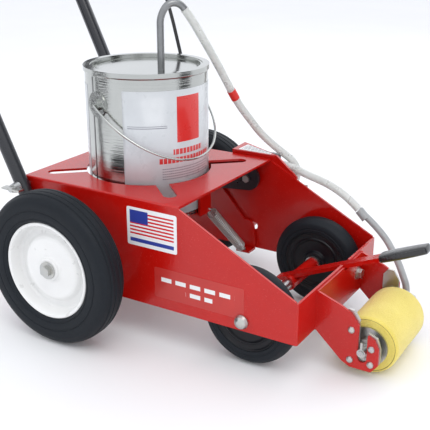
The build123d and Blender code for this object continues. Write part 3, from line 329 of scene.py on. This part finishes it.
# ---------------------------------------------------------------- zinc plated hardware
# Axles, bolts, washers, wing nuts, bearing plates and clips are bright zinc plate: pale, faintly
# blue and yellow in patches, with fine scratches from the spanner.
def zinc(at):
    patch = at.noise(60, 4.0)
    scratch = at.make("ShaderNodeTexNoise", {"Vector": at.make("ShaderNodeMapping", {0: at, 3: (30, 2200, 2200)}),
                                             "Scale": 1.0, "Detail": 2.0})
    return {"Base Color": patch.tint((0.42, 0.45, 0.5), (0.64, 0.62, 0.54)),
            "Metallic": 1.0,
            "Roughness": patch * 0.22 + scratch * 0.14 + 0.14,
            "Normal": (scratch * 0.6 + at.noise(1500) * 0.4).bump(0.00012)}


zinc_plate = finish("zinc_plate", zinc)
coat(zinc_plate, "rear_axle", "rear_wheel_bolts", "axle_spacers", "front_axle", "front_axle_caps", "bearing_plates",
     "bracket_rivets", "frame_bolts", "roller_end_discs", "hollow_axle", "axle_retainers", "fold_bolts",
     "wing_bolts", "lever_bracket", "hose_clips", "arm_wire")


# ---------------------------------------------------------------- rear wheels
# Semi-pneumatic rubber tyres with a rounded shoulder, two fine grooves round the tread and rings
# moulded into the sidewalls, on dished steel rims in white enamel.
def turned(name, profile, centre, material, steps=96):
    """A piece turned about a line along Y through centre; each profile point is (radius, y)."""
    model = bmesh.new()
    rings = []
    for radius, y in profile:
        ring = []
        for step in range(steps):
            turn = 2 * math.pi * step / steps
            ring.append(model.verts.new((centre[0] + radius * math.cos(turn), centre[1] + y,
                                         centre[2] + radius * math.sin(turn))))
        rings.append(ring)
    for one, two in zip(rings, rings[1:] + rings[:1]):
        for step in range(steps):
            after = (step + 1) % steps
            model.faces.new((one[step], one[after], two[after], two[step]))
    bmesh.ops.recalc_face_normals(model, faces=model.faces)
    mesh = bpy.data.meshes.new(name)
    model.to_mesh(mesh)
    model.free()
    return link(name, mesh, material)


def rounded(corners, radius, steps=4):
    """The closed profile with each corner rounded."""
    made = []
    for before, corner, after in zip(corners[-1:] + corners[:-1], corners, corners[1:] + corners[:1]):
        corner = Vector(corner)
        one = Vector(before) - corner
        two = Vector(after) - corner
        cut = min(radius, 0.45 * one.length, 0.45 * two.length)
        start = corner + one.normalized() * cut
        end = corner + two.normalized() * cut
        for step in range(steps + 1):
            t = step / steps
            made.append(tuple(start * (1 - t) ** 2 + corner * 2 * t * (1 - t) + end * t ** 2))
    return made


def rubber(at):
    cloud = at.noise(25, 5.0)
    dust = at.noise(160, 4.0) * 0.5 + cloud * 0.5
    return {"Base Color": dust.tint((0.004, 0.006, 0.009), (0.014, 0.018, 0.024)),
            "Roughness": cloud * 0.25 + 0.42,
            "Specular IOR Level": 0.22,
            "Normal": (at.noise(700, 3.0) * 0.6 + cloud * 0.4).bump(0.0003)}


tyre_rubber = finish("tyre_rubber", rubber)
tyre_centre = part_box("left_rear_tyre")
tread = (tyre_centre[1][2] - tyre_centre[0][2]) / 2
wide = (tyre_centre[1][1] - tyre_centre[0][1]) / 2
bead = 0.064
groove = 0.0011
tyre_outline = [(bead - 0.002, -0.0118), (bead, -0.0122), (bead + 0.001, -wide + 0.0034),
                (bead + 0.0045, -wide + 0.001), (bead + 0.0048, -wide + 0.0016),
                (bead + 0.0062, -wide + 0.0016), (bead + 0.0065, -wide + 0.0008),
                (tread - 0.0225, -wide), (tread - 0.0222, -wide + 0.0007), (tread - 0.0208, -wide + 0.0007),
                (tread - 0.0205, -wide), (tread - 0.0105, -wide + 0.0008), (tread - 0.0045, -wide + 0.004),
                (tread - 0.0017, -wide + 0.0085), (tread - 0.0015 - groove, -wide + 0.0089),
                (tread - 0.0013 - groove, -wide + 0.0101), (tread - 0.0008, -wide + 0.0105),
                (tread, -wide + 0.0155), (tread - groove, -wide + 0.0158), (tread - groove, -wide + 0.017),
                (tread, -wide + 0.0173)]
tyre_outline += [(radius, -y) for radius, y in reversed(tyre_outline)]
for side in ("right", "left"):
    low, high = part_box(f"{side}_rear_tyre")
    centre = [(a + b) / 2 for a, b in zip(low, high)]
    tyre = turned(f"{side}_ribbed_tyre", rounded(tyre_outline, 0.0012, 2), centre, tyre_rubber, 128)
    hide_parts(f"{side}_rear_tyre")
    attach(tyre, f"{side}_rear_wheel")


def enamel(at):
    cloud = at.noise(18, 5.0)
    grime = (at.noise(80, 6.0) > 0.66) * 0.5
    return {"Base Color": grime.over(cloud.tint((0.74, 0.74, 0.725), (0.86, 0.86, 0.85)), (0.6, 0.6, 0.58)),
            "Roughness": cloud * 0.2 + 0.2,
            "Coat Weight": 0.3,
            "Normal": at.noise(350, 2.0).bump(0.0002)}


white_enamel = finish("white_enamel", enamel)
rim_outline = [(0.0145, -0.020), (0.0145, 0.004), (0.036, 0.004), (0.0405, 0.0025), (0.0435, -0.003),
               (0.057, -0.0045), (0.0585, -0.016), (0.0636, -0.0162), (0.0636, -0.0145), (0.0617, -0.0125),
               (0.0617, 0.0125),
               (0.0638, 0.0145), (0.0646, 0.0168), (0.0628, 0.0178), (0.0600, 0.0168), (0.0585, 0.012),
               (0.0570, 0.003), (0.0545, -0.0005), (0.0462, 0.0010), (0.0425, 0.0062), (0.0395, 0.0078),
               (0.0185, 0.0078), (0.0155, 0.0095), (0.0145, 0.0128), (0.0065, 0.0130), (0.0065, -0.020)]
for side, out in (("right", -1), ("left", 1)):
    low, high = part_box(f"{side}_rear_tyre")
    centre = [(a + b) / 2 for a, b in zip(low, high)]
    rim = turned(f"{side}_dished_rim", rounded([(r, out * y) for r, y in rim_outline], 0.0011, 3), centre,
                 white_enamel, 112)
    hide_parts(f"{side}_rear_rim")
    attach(rim, f"{side}_rear_wheel")


# ---------------------------------------------------------------- front wheels
# Solid rubber tyres moulded round a black plastic centre with a raised hub and a bright seam ring.
def moulded(at):
    cloud = at.noise(60, 4.0)
    return {"Base Color": cloud.tint((0.003, 0.0035, 0.005), (0.009, 0.010, 0.014)),
            "Roughness": cloud * 0.2 + 0.22,
            "Specular IOR Level": 0.3,
            "Normal": at.noise(900, 2.0).bump(0.00015)}


black_mould = finish("black_moulding", moulded)
front_outline = [(0.0445, -0.0138), (0.049, -0.0148), (0.0495, -0.0142), (0.0508, -0.0142), (0.0513, -0.015),
                 (0.0572, -0.0136), (0.0605, -0.0098), (0.0628, -0.0062), (0.0635, -0.002)]
front_outline += [(radius, -y) for radius, y in reversed(front_outline)]
centre_outline = [(0.0065, -0.0148), (0.0155, -0.0148), (0.0170, -0.0105), (0.0305, -0.0092), (0.0325, -0.0105),
                  (0.0335, -0.0122), (0.0350, -0.0122), (0.0360, -0.0108), (0.0415, -0.0112), (0.0428, -0.0132),
                  (0.0444, -0.0134)]
centre_outline += [(radius, -y) for radius, y in reversed(centre_outline)]
for side in ("right", "left"):
    low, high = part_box(f"{side}_front_tyre")
    centre = [(a + b) / 2 for a, b in zip(low, high)]
    tyre = turned(f"{side}_small_tyre", rounded(front_outline, 0.0012, 2), centre, tyre_rubber, 112)
    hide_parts(f"{side}_front_tyre")
    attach(tyre, f"{side}_front_wheel")
    core = turned(f"{side}_wheel_centre", rounded(centre_outline, 0.001, 2), centre, black_mould)
    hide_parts(f"{side}_front_core")
    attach(core, f"{side}_front_wheel")


# ---------------------------------------------------------------- paint roller
# Open foam sleeve, yellow, with a softer edge; paint soaks through its perforated plastic core.
# The zinc end discs press on its ends.
low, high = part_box("foam_sleeve")
roll_centre = [(a + b) / 2 for a, b in zip(low, high)]
roll = (high[2] - low[2]) / 2
half_roll = (high[1] - low[1]) / 2


def foam(at):
    pore = at.make("ShaderNodeTexVoronoi", {"Vector": at, "Scale": 850.0}, feature="F1")
    cloud = at.noise(35, 5.0)
    x, y, z = at.axes()
    across = ((x - roll_centre[0]).math("POWER", 2.0) + (z - roll_centre[2]).math("POWER", 2.0)).math("SQRT")
    # The thin dark ring on the near end is painted shade, laid over the groove that the sleeve's outline cuts
    # there.
    seam = across.between(0.0332, 0.0339) * (y < roll_centre[1] - half_roll + 0.004)
    yellow = (cloud * 0.6 + pore * 0.5).tint((0.66, 0.50, 0.07), (0.92, 0.78, 0.20))
    return {"Base Color": seam.over(yellow, (0.2, 0.15, 0.03)),
            "Roughness": 0.85 - cloud * 0.1,
            "Sheen Weight": 0.3,
            "Subsurface Weight": 0.15,
            "Subsurface Radius": (0.004, 0.003, 0.001),
            "Normal": (pore * 0.7 + at.noise(300) * 0.3).bump(0.0006)}


yellow_foam = finish("yellow_foam", foam)
sleeve_outline = [(0.0202, -half_roll), (roll - 0.0042, -half_roll), (roll - 0.0036, -half_roll + 0.0006),
                  (roll - 0.003, -half_roll), (roll - 0.0012, -half_roll + 0.0012),
                  (roll - 0.0001, -half_roll + 0.004),
                  (roll, -half_roll + 0.02), (roll - 0.0004, 0.0)]
sleeve_outline += [(radius, -y) for radius, y in reversed(sleeve_outline[:-1])]
sleeve = turned("foam_roller_sleeve", rounded(sleeve_outline, 0.0008, 3), roll_centre, yellow_foam,
                128)
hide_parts("foam_sleeve")
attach(sleeve, "roller")


def pipe_grey(at):
    cloud = at.noise(80, 4.0)
    return {"Base Color": cloud.tint((0.25, 0.26, 0.265), (0.42, 0.43, 0.43)),
            "Roughness": cloud * 0.2 + 0.22,
            "Coat Weight": 0.2,
            "Normal": at.noise(600).bump(0.00015)}


grey_plastic = finish("grey_plastic", pipe_grey)
coat(grey_plastic, "roller_core", "feed_fittings", "pump_rotor")
# The feed pipe is stiff grey tube, heat-bent to reach the roller's elbow.
feed_route = [(0.3015, 0.13, 0.137), (0.336, 0.132, 0.112), (0.369, 0.108, 0.085), (0.386, 0.088, 0.0705),
              (0.3928, 0.083, 0.06), (0.3928, 0.083, 0.049)]
feed = pull("bent_feed_pipe", feed_route, 0.00475, grey_plastic)[0]
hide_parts("feed_pipe")
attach(feed, "roller_axle")


# ---------------------------------------------------------------- front lever grip
# Black vinyl, dipped hot on the end of the red bar, so that it is glossy and a little uneven.
def vinyl(at):
    cloud = at.noise(70, 3.0)
    return {"Base Color": cloud.tint((0.006, 0.006, 0.007), (0.018, 0.018, 0.02)),
            "Roughness": cloud * 0.18 + 0.16,
            "Coat Weight": 0.4,
            "Normal": at.noise(180, 2.0).bump(0.0006)}


black_vinyl = finish("black_vinyl", vinyl)
slope = math.radians(23.2)
ahead = Vector((math.cos(slope), 0.0, math.sin(slope)))
above = Vector((-math.sin(slope), 0.0, math.cos(slope)))
bar_start = Vector((0.25722, 0.020, 0.0635)) + above * 0.007
grip_start = 0.1325
grip_length = 0.0635
last = 40
squareness = 0.62
model = bmesh.new()
rings = []
for step in range(last + 1):
    t = step / last
    reach = grip_length * (1 - math.cos(math.pi * t)) / 2
    swell = min(1.0, math.sin(math.pi * t) * 3.2) ** 0.5 if 0 < step < last else 0.05
    half_wide = (0.0108 + 0.0016 * math.sin(math.pi * min(1.0, t * 1.3))) * swell
    half_tall = (0.0048 + 0.0012 * math.sin(math.pi * t)) * swell
    middle = bar_start + ahead * (grip_start + reach)
    ring = []
    for turn in range(last):
        angle = 2 * math.pi * turn / last
        across = math.copysign(abs(math.cos(angle)) ** squareness, math.cos(angle)) * half_wide
        tall = math.copysign(abs(math.sin(angle)) ** squareness, math.sin(angle)) * half_tall
        ring.append(model.verts.new(middle + Vector((0, across, 0)) + above * tall))
    rings.append(ring)
for one, two in zip(rings, rings[1:]):
    for turn in range(last):
        after = (turn + 1) % last
        model.faces.new((one[turn], one[after], two[after], two[turn]))
model.faces.new(rings[0][::-1])
model.faces.new(rings[-1])
bmesh.ops.recalc_face_normals(model, faces=model.faces)
mesh = bpy.data.meshes.new("dipped_grip")
model.to_mesh(mesh)
model.free()
grip = link("dipped_grip", mesh, black_vinyl)
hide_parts("lever_grip")
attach(grip, "lever")


# ---------------------------------------------------------------- handle
# Black enamelled steel tube, two straight sides and a bent crossbar with a foam grip.
def tube_enamel(at):
    cloud = at.noise(30, 4.0)
    return {"Base Color": cloud.tint((0.0055, 0.0065, 0.010), (0.016, 0.018, 0.024)),
            "Roughness": cloud * 0.16 + 0.2,
            "Coat Weight": 0.35,
            "Normal": at.noise(500, 2.0).bump(0.00018)}


black_enamel = finish("black_enamel", tube_enamel)
coat(black_enamel, "right_handle_tube", "left_handle_tube", "handle_crossbar", "hand_lever", "arm_stiffener")
grip_foam = finish("grip_foam", lambda at: {
    "Base Color": at.noise(300, 4.0).tint((0.008, 0.008, 0.009), (0.03, 0.03, 0.031)),
    "Roughness": at.noise(100) * 0.15 + 0.7,
    "Normal": at.noise(1100, 3.0).bump(0.0005),
})
coat(grip_foam, "handle_grip")


# ---------------------------------------------------------------- pump and friction drive
# Moulded black bowl with a clear cover, a squeezed soft tube inside, and a knurled steel wheel
# with a round rubber belt. The knurl is cut as straight ribs round the wheel.
coat(black_mould, "pump_housing", "drive_belt")
clear_cover = finish("clear_cover", lambda at: {
    "Base Color": at.noise(40).tint((0.8, 0.83, 0.84), (0.92, 0.94, 0.95)),
    "Roughness": at.noise(200) * 0.1 + 0.03,
    "Transmission Weight": 0.9,
    "IOR": 1.49,
    "Normal": at.noise(120).bump(0.0001),
})
coat(clear_cover, "pump_cover")
coat(hose_look, "pump_tube")
coat(zinc_plate, "drive_wheel")


def tree_of(name, inputs):
    """An empty Geometry Nodes tree with number inputs and one geometry output."""
    tree = bpy.data.node_groups.new(name, "GeometryNodeTree")
    for label, kind in inputs:
        tree.interface.new_socket(label, in_out="INPUT", socket_type=kind)
    tree.interface.new_socket("Geometry", in_out="OUTPUT", socket_type="NodeSocketGeometry")
    return tree


def grow(tree, kind, values=(), **settings):
    """A node of a Geometry Nodes tree with its settings and its linked or set inputs."""
    node = tree.nodes.new(kind)
    for key, value in settings.items():
        setattr(node, key, value)
    for key, value in dict(values).items():
        if isinstance(value, bpy.types.NodeSocket):
            tree.links.new(value, node.inputs[key])
        else:
            node.inputs[key].default_value = value
    return node


def grown(name, tree, sizes, material):
    """The plain mesh piece that a tree makes with these sizes."""
    holder = bpy.data.objects.new(name, bpy.data.meshes.new(name))
    bpy.context.collection.objects.link(holder)
    modifier = holder.modifiers.new("made", "NODES")
    modifier.node_group = tree
    for item in tree.interface.items_tree:
        if item.in_out == "INPUT":
            modifier[item.identifier] = sizes[item.name]
    bpy.context.view_layer.update()
    mesh = bpy.data.meshes.new_from_object(holder.evaluated_get(bpy.context.evaluated_depsgraph_get()))
    bpy.data.objects.remove(holder)
    mesh.name = name
    return link(name, mesh, material)


knurl = tree_of("knurl_ribs", [("Ribs", "NodeSocketInt"), ("Radius", "NodeSocketFloat"),
                               ("Length", "NodeSocketFloat"), ("Rib", "NodeSocketFloat")])
sizes_in = grow(knurl, "NodeGroupInput")
ring = grow(knurl, "GeometryNodeMeshCircle", {"Vertices": sizes_in.outputs["Ribs"],
                                              "Radius": sizes_in.outputs["Radius"]})
rib_size = grow(knurl, "ShaderNodeCombineXYZ", {0: sizes_in.outputs["Rib"], 1: sizes_in.outputs["Rib"],
                                                2: sizes_in.outputs["Length"]})
rib = grow(knurl, "GeometryNodeMeshCube", {"Size": rib_size.outputs[0]})
rib_turn = grow(knurl, "FunctionNodeAlignEulerToVector",
                {"Vector": grow(knurl, "GeometryNodeInputPosition").outputs[0]}, axis="X", pivot_axis="Z")
ribs = grow(knurl, "GeometryNodeInstanceOnPoints", {"Points": ring.outputs[0], "Instance": rib.outputs[0],
                                                    "Rotation": rib_turn.outputs[0]})
real = grow(knurl, "GeometryNodeRealizeInstances", {0: ribs.outputs[0]})
dressed = grow(knurl, "GeometryNodeSetMaterial", {"Geometry": real.outputs[0], "Material": zinc_plate})
grow(knurl, "NodeGroupOutput", {0: dressed.outputs[0]})
low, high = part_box("drive_wheel")
wheel_radius = (high[2] - low[2]) / 2
ribs_piece = grown("drive_wheel_knurl", knurl, {"Ribs": 60, "Radius": wheel_radius - 0.0004, "Length": 0.0196,
                                               "Rib": 0.0009}, zinc_plate)
ribs_piece.data.transform(Matrix.Translation(((low[0] + high[0]) / 2, 0.178, (low[2] + high[2]) / 2))
                          @ Matrix.Rotation(math.pi / 2, 4, "X"))
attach(ribs_piece, "friction_wheel")


# ---------------------------------------------------------------- return spring
# Close-wound steel wire with a hook at each end. It pulls the drive wheel on to the tyre, from a
# tab of the can cradle to the swinging arm.
coil = tree_of("coil_of_wire", [("Turns", "NodeSocketFloat"), ("Radius", "NodeSocketFloat"),
                                ("Height", "NodeSocketFloat"), ("Wire", "NodeSocketFloat")])
sizes_in = grow(coil, "NodeGroupInput")
helix = grow(coil, "GeometryNodeCurveSpiral", {"Resolution": 20, "Rotations": sizes_in.outputs["Turns"],
                                               "Start Radius": sizes_in.outputs["Radius"],
                                               "End Radius": sizes_in.outputs["Radius"],
                                               "Height": sizes_in.outputs["Height"]})
section = grow(coil, "GeometryNodeCurvePrimitiveCircle", {"Resolution": 8, "Radius": sizes_in.outputs["Wire"]})
swept = grow(coil, "GeometryNodeCurveToMesh", {"Curve": helix.outputs[0], "Profile Curve": section.outputs[0],
                                               "Fill Caps": True})
real = grow(coil, "GeometryNodeRealizeInstances", {0: swept.outputs[0]})
dressed = grow(coil, "GeometryNodeSetMaterial", {"Geometry": real.outputs[0], "Material": zinc_plate})
grow(coil, "NodeGroupOutput", {0: dressed.outputs[0]})
spring_top = Vector((0.1242, 0.018, 0.140))
spring_foot = Vector((0.135, 0.102, 0.0505))
along = (spring_foot - spring_top).normalized()
spring_length = (spring_foot - spring_top).length
hook = 0.011
coil_radius = 0.0068
hook_radius = 0.0036
coil_height = spring_length - 2 * hook
spring = grown("return_spring_coils", coil, {"Turns": 26.0, "Radius": coil_radius, "Height": coil_height,
                                             "Wire": 0.00105}, zinc_plate)
upright = Vector((0, 0, 1)).rotation_difference(along).to_matrix().to_4x4()
spring.data.transform(Matrix.Translation(spring_top + along * hook) @ upright)
hooks = []
for base, way in ((spring_top + along * hook, -along), (spring_foot - along * hook, along)):
    across = way.cross(Vector((0, 0, 1))).normalized()
    points = [base + across * coil_radius, base + across * 0.006 + way * 0.004, base + way * 0.005]
    for step in range(9):
        turn = math.radians(-90 + 33 * step)
        points.append(base + way * (0.0092 + hook_radius * math.sin(turn))
                      + across * (hook_radius * math.cos(turn)))
    hooks.append(pull("spring_hook", [tuple(p) for p in points], 0.00088, zinc_plate)[0])
for end in hooks:
    model = bmesh.new()
    model.from_mesh(spring.data)
    model.from_mesh(end.data)
    model.to_mesh(spring.data)
    model.free()
    bpy.data.objects.remove(end)
for face in spring.data.polygons:
    face.use_smooth = True
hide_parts("extension_spring")
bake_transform(spring)


# ---------------------------------------------------------------- paint can
# One gallon can of bright tin plate with a rolled ring, a pressed lid, a soldered side seam and
# ears for the bail. The plate is rolled, so its grain runs round the can.
def tin(at):
    streak = at.make("ShaderNodeTexNoise", {"Vector": at.make("ShaderNodeMapping", {0: at, 3: (9, 9, 900)}),
                                            "Scale": 1.0, "Detail": 3.0})
    cloud = at.noise(14, 4.0)
    return {"Base Color": cloud.tint((0.42, 0.435, 0.42), (0.58, 0.59, 0.57)),
            "Metallic": 1.0,
            "Roughness": cloud * 0.08 + streak * 0.06 + 0.07,
            "Normal": (streak * 0.4 + at.noise(9, 2.0) * 0.6).bump(0.0005)}


tin_plate = finish("tin_plate", tin)
coat(tin_plate, "can_body", "can_lid", "can_ears", "can_bail")
can_r = 0.0825


def wrap(name, radius, start, end, low, high, thick, material, body):
    """A thin sheet bent round the can between two angles and two heights, with its own UV map."""
    model = bmesh.new()
    steps = 48
    layers = []
    for depth in (0.0, thick):
        rows = []
        for z in (low, high):
            row = []
            for step in range(steps + 1):
                turn = math.radians(start + (end - start) * step / steps)
                row.append(model.verts.new((can_x + (radius + depth) * math.cos(turn),
                                            (radius + depth) * math.sin(turn), z)))
            rows.append(row)
        layers.append(rows)
    inner, outer = layers
    for step in range(steps):
        model.faces.new((outer[0][step], outer[0][step + 1], outer[1][step + 1], outer[1][step]))
        model.faces.new((inner[0][step + 1], inner[0][step], inner[1][step], inner[1][step + 1]))
        model.faces.new((inner[0][step], inner[0][step + 1], outer[0][step + 1], outer[0][step]))
        model.faces.new((inner[1][step + 1], inner[1][step], outer[1][step], outer[1][step + 1]))
    for step in (0, steps):
        corners = [inner[0][step], outer[0][step], outer[1][step], inner[1][step]]
        model.faces.new(corners if step == 0 else corners[::-1])
    bmesh.ops.recalc_face_normals(model, faces=model.faces)
    places = model.loops.layers.uv.new("flat")
    for face in model.faces:
        for loop in face.loops:
            x, y, z = loop.vert.co
            turn = math.degrees(math.atan2(y, x - can_x))
            turn = turn + 360 if turn < start - 1 else turn
            loop[places].uv = ((turn - start) / (end - start), (z - low) / (high - low))
    mesh = bpy.data.meshes.new(name)
    model.to_mesh(mesh)
    model.free()
    piece = link(name, mesh, material)
    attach(piece, body)
    return piece


# The label is gloss paper with plain printed shapes: a red panel, a grey rule and rows of bars.
def label(at):
    """Print on the paper; heights are shares of the part that stands above the deck."""
    u, v = at.make("ShaderNodeUVMap", uv_map="flat").axes()[:2]
    paper = at.noise(40, 4.0).tint((0.50, 0.52, 0.54), (0.62, 0.64, 0.66))
    hidden = 0.27
    v = (v - hidden) / (1 - hidden)
    panel = u.between(0.37, 0.57) * v.between(0.44, 0.93)
    rule = (v.between(0.607, 0.615) + v.between(0.628, 0.634)) * u.between(0.03, 0.30)
    rows = v.between(0.31, 0.37) * u.between(0.34, 0.60) + v.between(0.22, 0.28) * u.between(0.24, 0.70)
    word = (u * 34.0).math("FRACT") > 0.18
    small = ((v * 36.0).math("FRACT") > 0.62) * v.between(0.03, 0.17) * u.between(0.26, 0.68)
    colour = panel.over(paper, (0.60, 0.016, 0.012))
    colour = rule.over(colour, (0.16, 0.16, 0.2))
    colour = (rows * word).over(colour, (0.6, 0.03, 0.03))
    colour = (small * ((u * 70.0).math("FRACT") > 0.2)).over(colour, (0.22, 0.22, 0.26))
    return {"Base Color": colour, "Roughness": at.noise(60) * 0.14 + 0.22, "Coat Weight": 0.3,
            "Normal": at.noise(25, 2.0).bump(0.0006)}


label_paper = finish("label_paper", label)
wrap("can_label_front", can_r + 0.00005, -77, 57, 0.147, 0.3148, 0.00022, label_paper, "can")
wrap("can_label_rear", can_r + 0.00005, 94, 236, 0.147, 0.3148, 0.00022, label_paper, "can")
seam = finish("solder_seam", lambda at: {
    "Base Color": at.noise(90).tint((0.16, 0.16, 0.165), (0.36, 0.36, 0.36)),
    "Metallic": 1.0,
    "Roughness": at.noise(150) * 0.2 + 0.3,
    "Normal": at.noise(300).bump(0.0004),
})
wrap("can_side_seam", can_r + 0.00002, 270 - 22.5, 270 - 21.0, 0.146, 0.328, 0.0004, seam, "can")

# The dip pipe is dull steel, bent over at the top so that the hose leads to the pump.
steel_tube = finish("steel_pipe", lambda at: {
    "Base Color": at.noise(70, 4.0).tint((0.2, 0.205, 0.21), (0.34, 0.345, 0.35)),
    "Metallic": 0.85,
    "Roughness": at.noise(120) * 0.2 + 0.24,
    "Normal": at.noise(500).bump(0.0001),
})
pipe_route = [(0.0702, -0.0107, 0.152), (0.0702, -0.0107, 0.30), (0.0702, -0.0107, 0.383), (0.0702, -0.0107, 0.4),
              (0.077, -0.0035, 0.417), (0.0883, 0.0084, 0.4172), (0.092, 0.013, 0.4092)]
pipe = pull("dip_pipe", pipe_route, 0.00475, steel_tube)[0]
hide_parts("suction_pipe")
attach(pipe, "can")


# ---------------------------------------------------------------- stickers
# Printed vinyl stickers with rounded corners: a striped badge and a clear film with plain bars on the
# right side panel, and a pale notice with grey bars on the pump guard. They carry no words.
def sticker(name, corners, thick, recipe, body="frame"):
    """A thin rounded sheet on a flat face; its four corners run round it from the lower left, seen from outside."""
    corners = [Vector(c) for c in corners]
    across = (corners[1] - corners[0]).normalized()
    out = across.cross(corners[3] - corners[0]).normalized()
    up = out.cross(across)
    width = (corners[1] - corners[0]).length
    height = (corners[3] - corners[0]).dot(up)
    flat = rounded([((c - corners[0]).dot(across), (c - corners[0]).dot(up)) for c in corners], height * 0.06, 5)
    model = bmesh.new()
    rings = []
    for depth in (0.00002, thick):
        rings.append([model.verts.new(corners[0] + across * x + up * y + out * depth) for x, y in flat])
    model.faces.new(rings[1])
    model.faces.new(rings[0][::-1])
    for step in range(len(flat)):
        after = (step + 1) % len(flat)
        model.faces.new((rings[0][step], rings[0][after], rings[1][after], rings[1][step]))
    places = model.loops.layers.uv.new("flat")
    for face in model.faces:
        for loop in face.loops:
            offset = loop.vert.co - corners[0]
            loop[places].uv = (offset.dot(across) / width, offset.dot(up) / height)
    mesh = bpy.data.meshes.new(name)
    model.to_mesh(mesh)
    model.free()
    piece = bpy.data.objects.new(name, mesh)
    bpy.context.collection.objects.link(piece)
    mesh.materials.append(finish(name + "_print", recipe))
    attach(piece, body)


def badge(at):
    u, v = at.make("ShaderNodeUVMap", uv_map="flat").axes()[:2]
    vinyl_white = at.noise(60).tint((0.78, 0.79, 0.8), (0.88, 0.88, 0.89))
    field = u.between(0.06, 0.94) * v.between(0.30, 0.93)
    stripe = ((v - 0.30) * 11.1).math("FRACT") < 0.5
    corner = u.between(0.06, 0.43) * v.between(0.60, 0.93)
    foot = u.between(0.06, 0.94) * v.between(0.10, 0.20)
    colour = (field * stripe).over(vinyl_white, (0.62, 0.012, 0.02))
    colour = corner.over(colour, (0.03, 0.05, 0.30))
    colour = foot.over(colour, (0.03, 0.05, 0.30))
    return {"Base Color": colour, "Roughness": at.noise(90) * 0.1 + 0.25, "Normal": at.noise(80).bump(0.0001)}


panel_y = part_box("right_side_panel")[0][1]
sticker("striped_badge", [(0.0896, panel_y, 0.130), (0.1650, panel_y, 0.130), (0.1650, panel_y, 0.181),
                          (0.0896, panel_y, 0.181)], 0.00025, badge)


def film(at):
    u, v = at.make("ShaderNodeUVMap", uv_map="flat").axes()[:2]
    clear = at.noise(30, 3.0).tint((0.42, 0.018, 0.014), (0.56, 0.03, 0.022))
    top = v.between(0.56, 0.70) * u.between(0.08, 0.90)
    low_bar = v.between(0.26, 0.40) * u.between(0.36, 0.66)
    dash = ((u - 0.08) * 6.1).math("FRACT") < 0.72
    return {"Base Color": (top * dash + low_bar * dash).over(clear, (0.8, 0.8, 0.8)),
            "Roughness": at.noise(50) * 0.12 + 0.28, "Coat Weight": 0.2, "Normal": at.noise(70).bump(0.0001)}


sticker("side_film", [(0.1300, panel_y, 0.066), (0.2600, panel_y, 0.066), (0.2600, panel_y, 0.107),
                      (0.1300, panel_y, 0.107)], 0.0002, film)


def notice(at):
    u, v = at.make("ShaderNodeUVMap", uv_map="flat").axes()[:2]
    bars = ((v * 5.0).math("FRACT").between(0.3, 0.75)) * u.between(0.06, 0.94) * v.between(0.1, 0.92)
    word = ((u + (v * 5.0).math("FLOOR") * 0.37) * 9.0).math("FRACT") > 0.14
    white = at.noise(50).tint((0.8, 0.8, 0.8), (0.88, 0.88, 0.88))
    return {"Base Color": (bars * word).over(white, (0.2, 0.2, 0.22)),
            "Roughness": at.noise(90) * 0.1 + 0.3, "Normal": at.noise(80).bump(0.0001)}


guard_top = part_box("pump_guard")[1][2]
sticker("guard_notice", [(0.1109, 0.1245, guard_top), (0.1640, 0.1245, guard_top), (0.1640, 0.1290, guard_top),
                         (0.1109, 0.1535, guard_top)], 0.0002, notice)


# ---------------------------------------------------------------- floor finish
# The floor is matt white card.
floor.data.materials.append(finish("white_card", lambda at: {
    "Base Color": at.noise(3).tint((0.86, 0.86, 0.87), (0.9, 0.9, 0.9)),
    "Roughness": 0.7,
}))
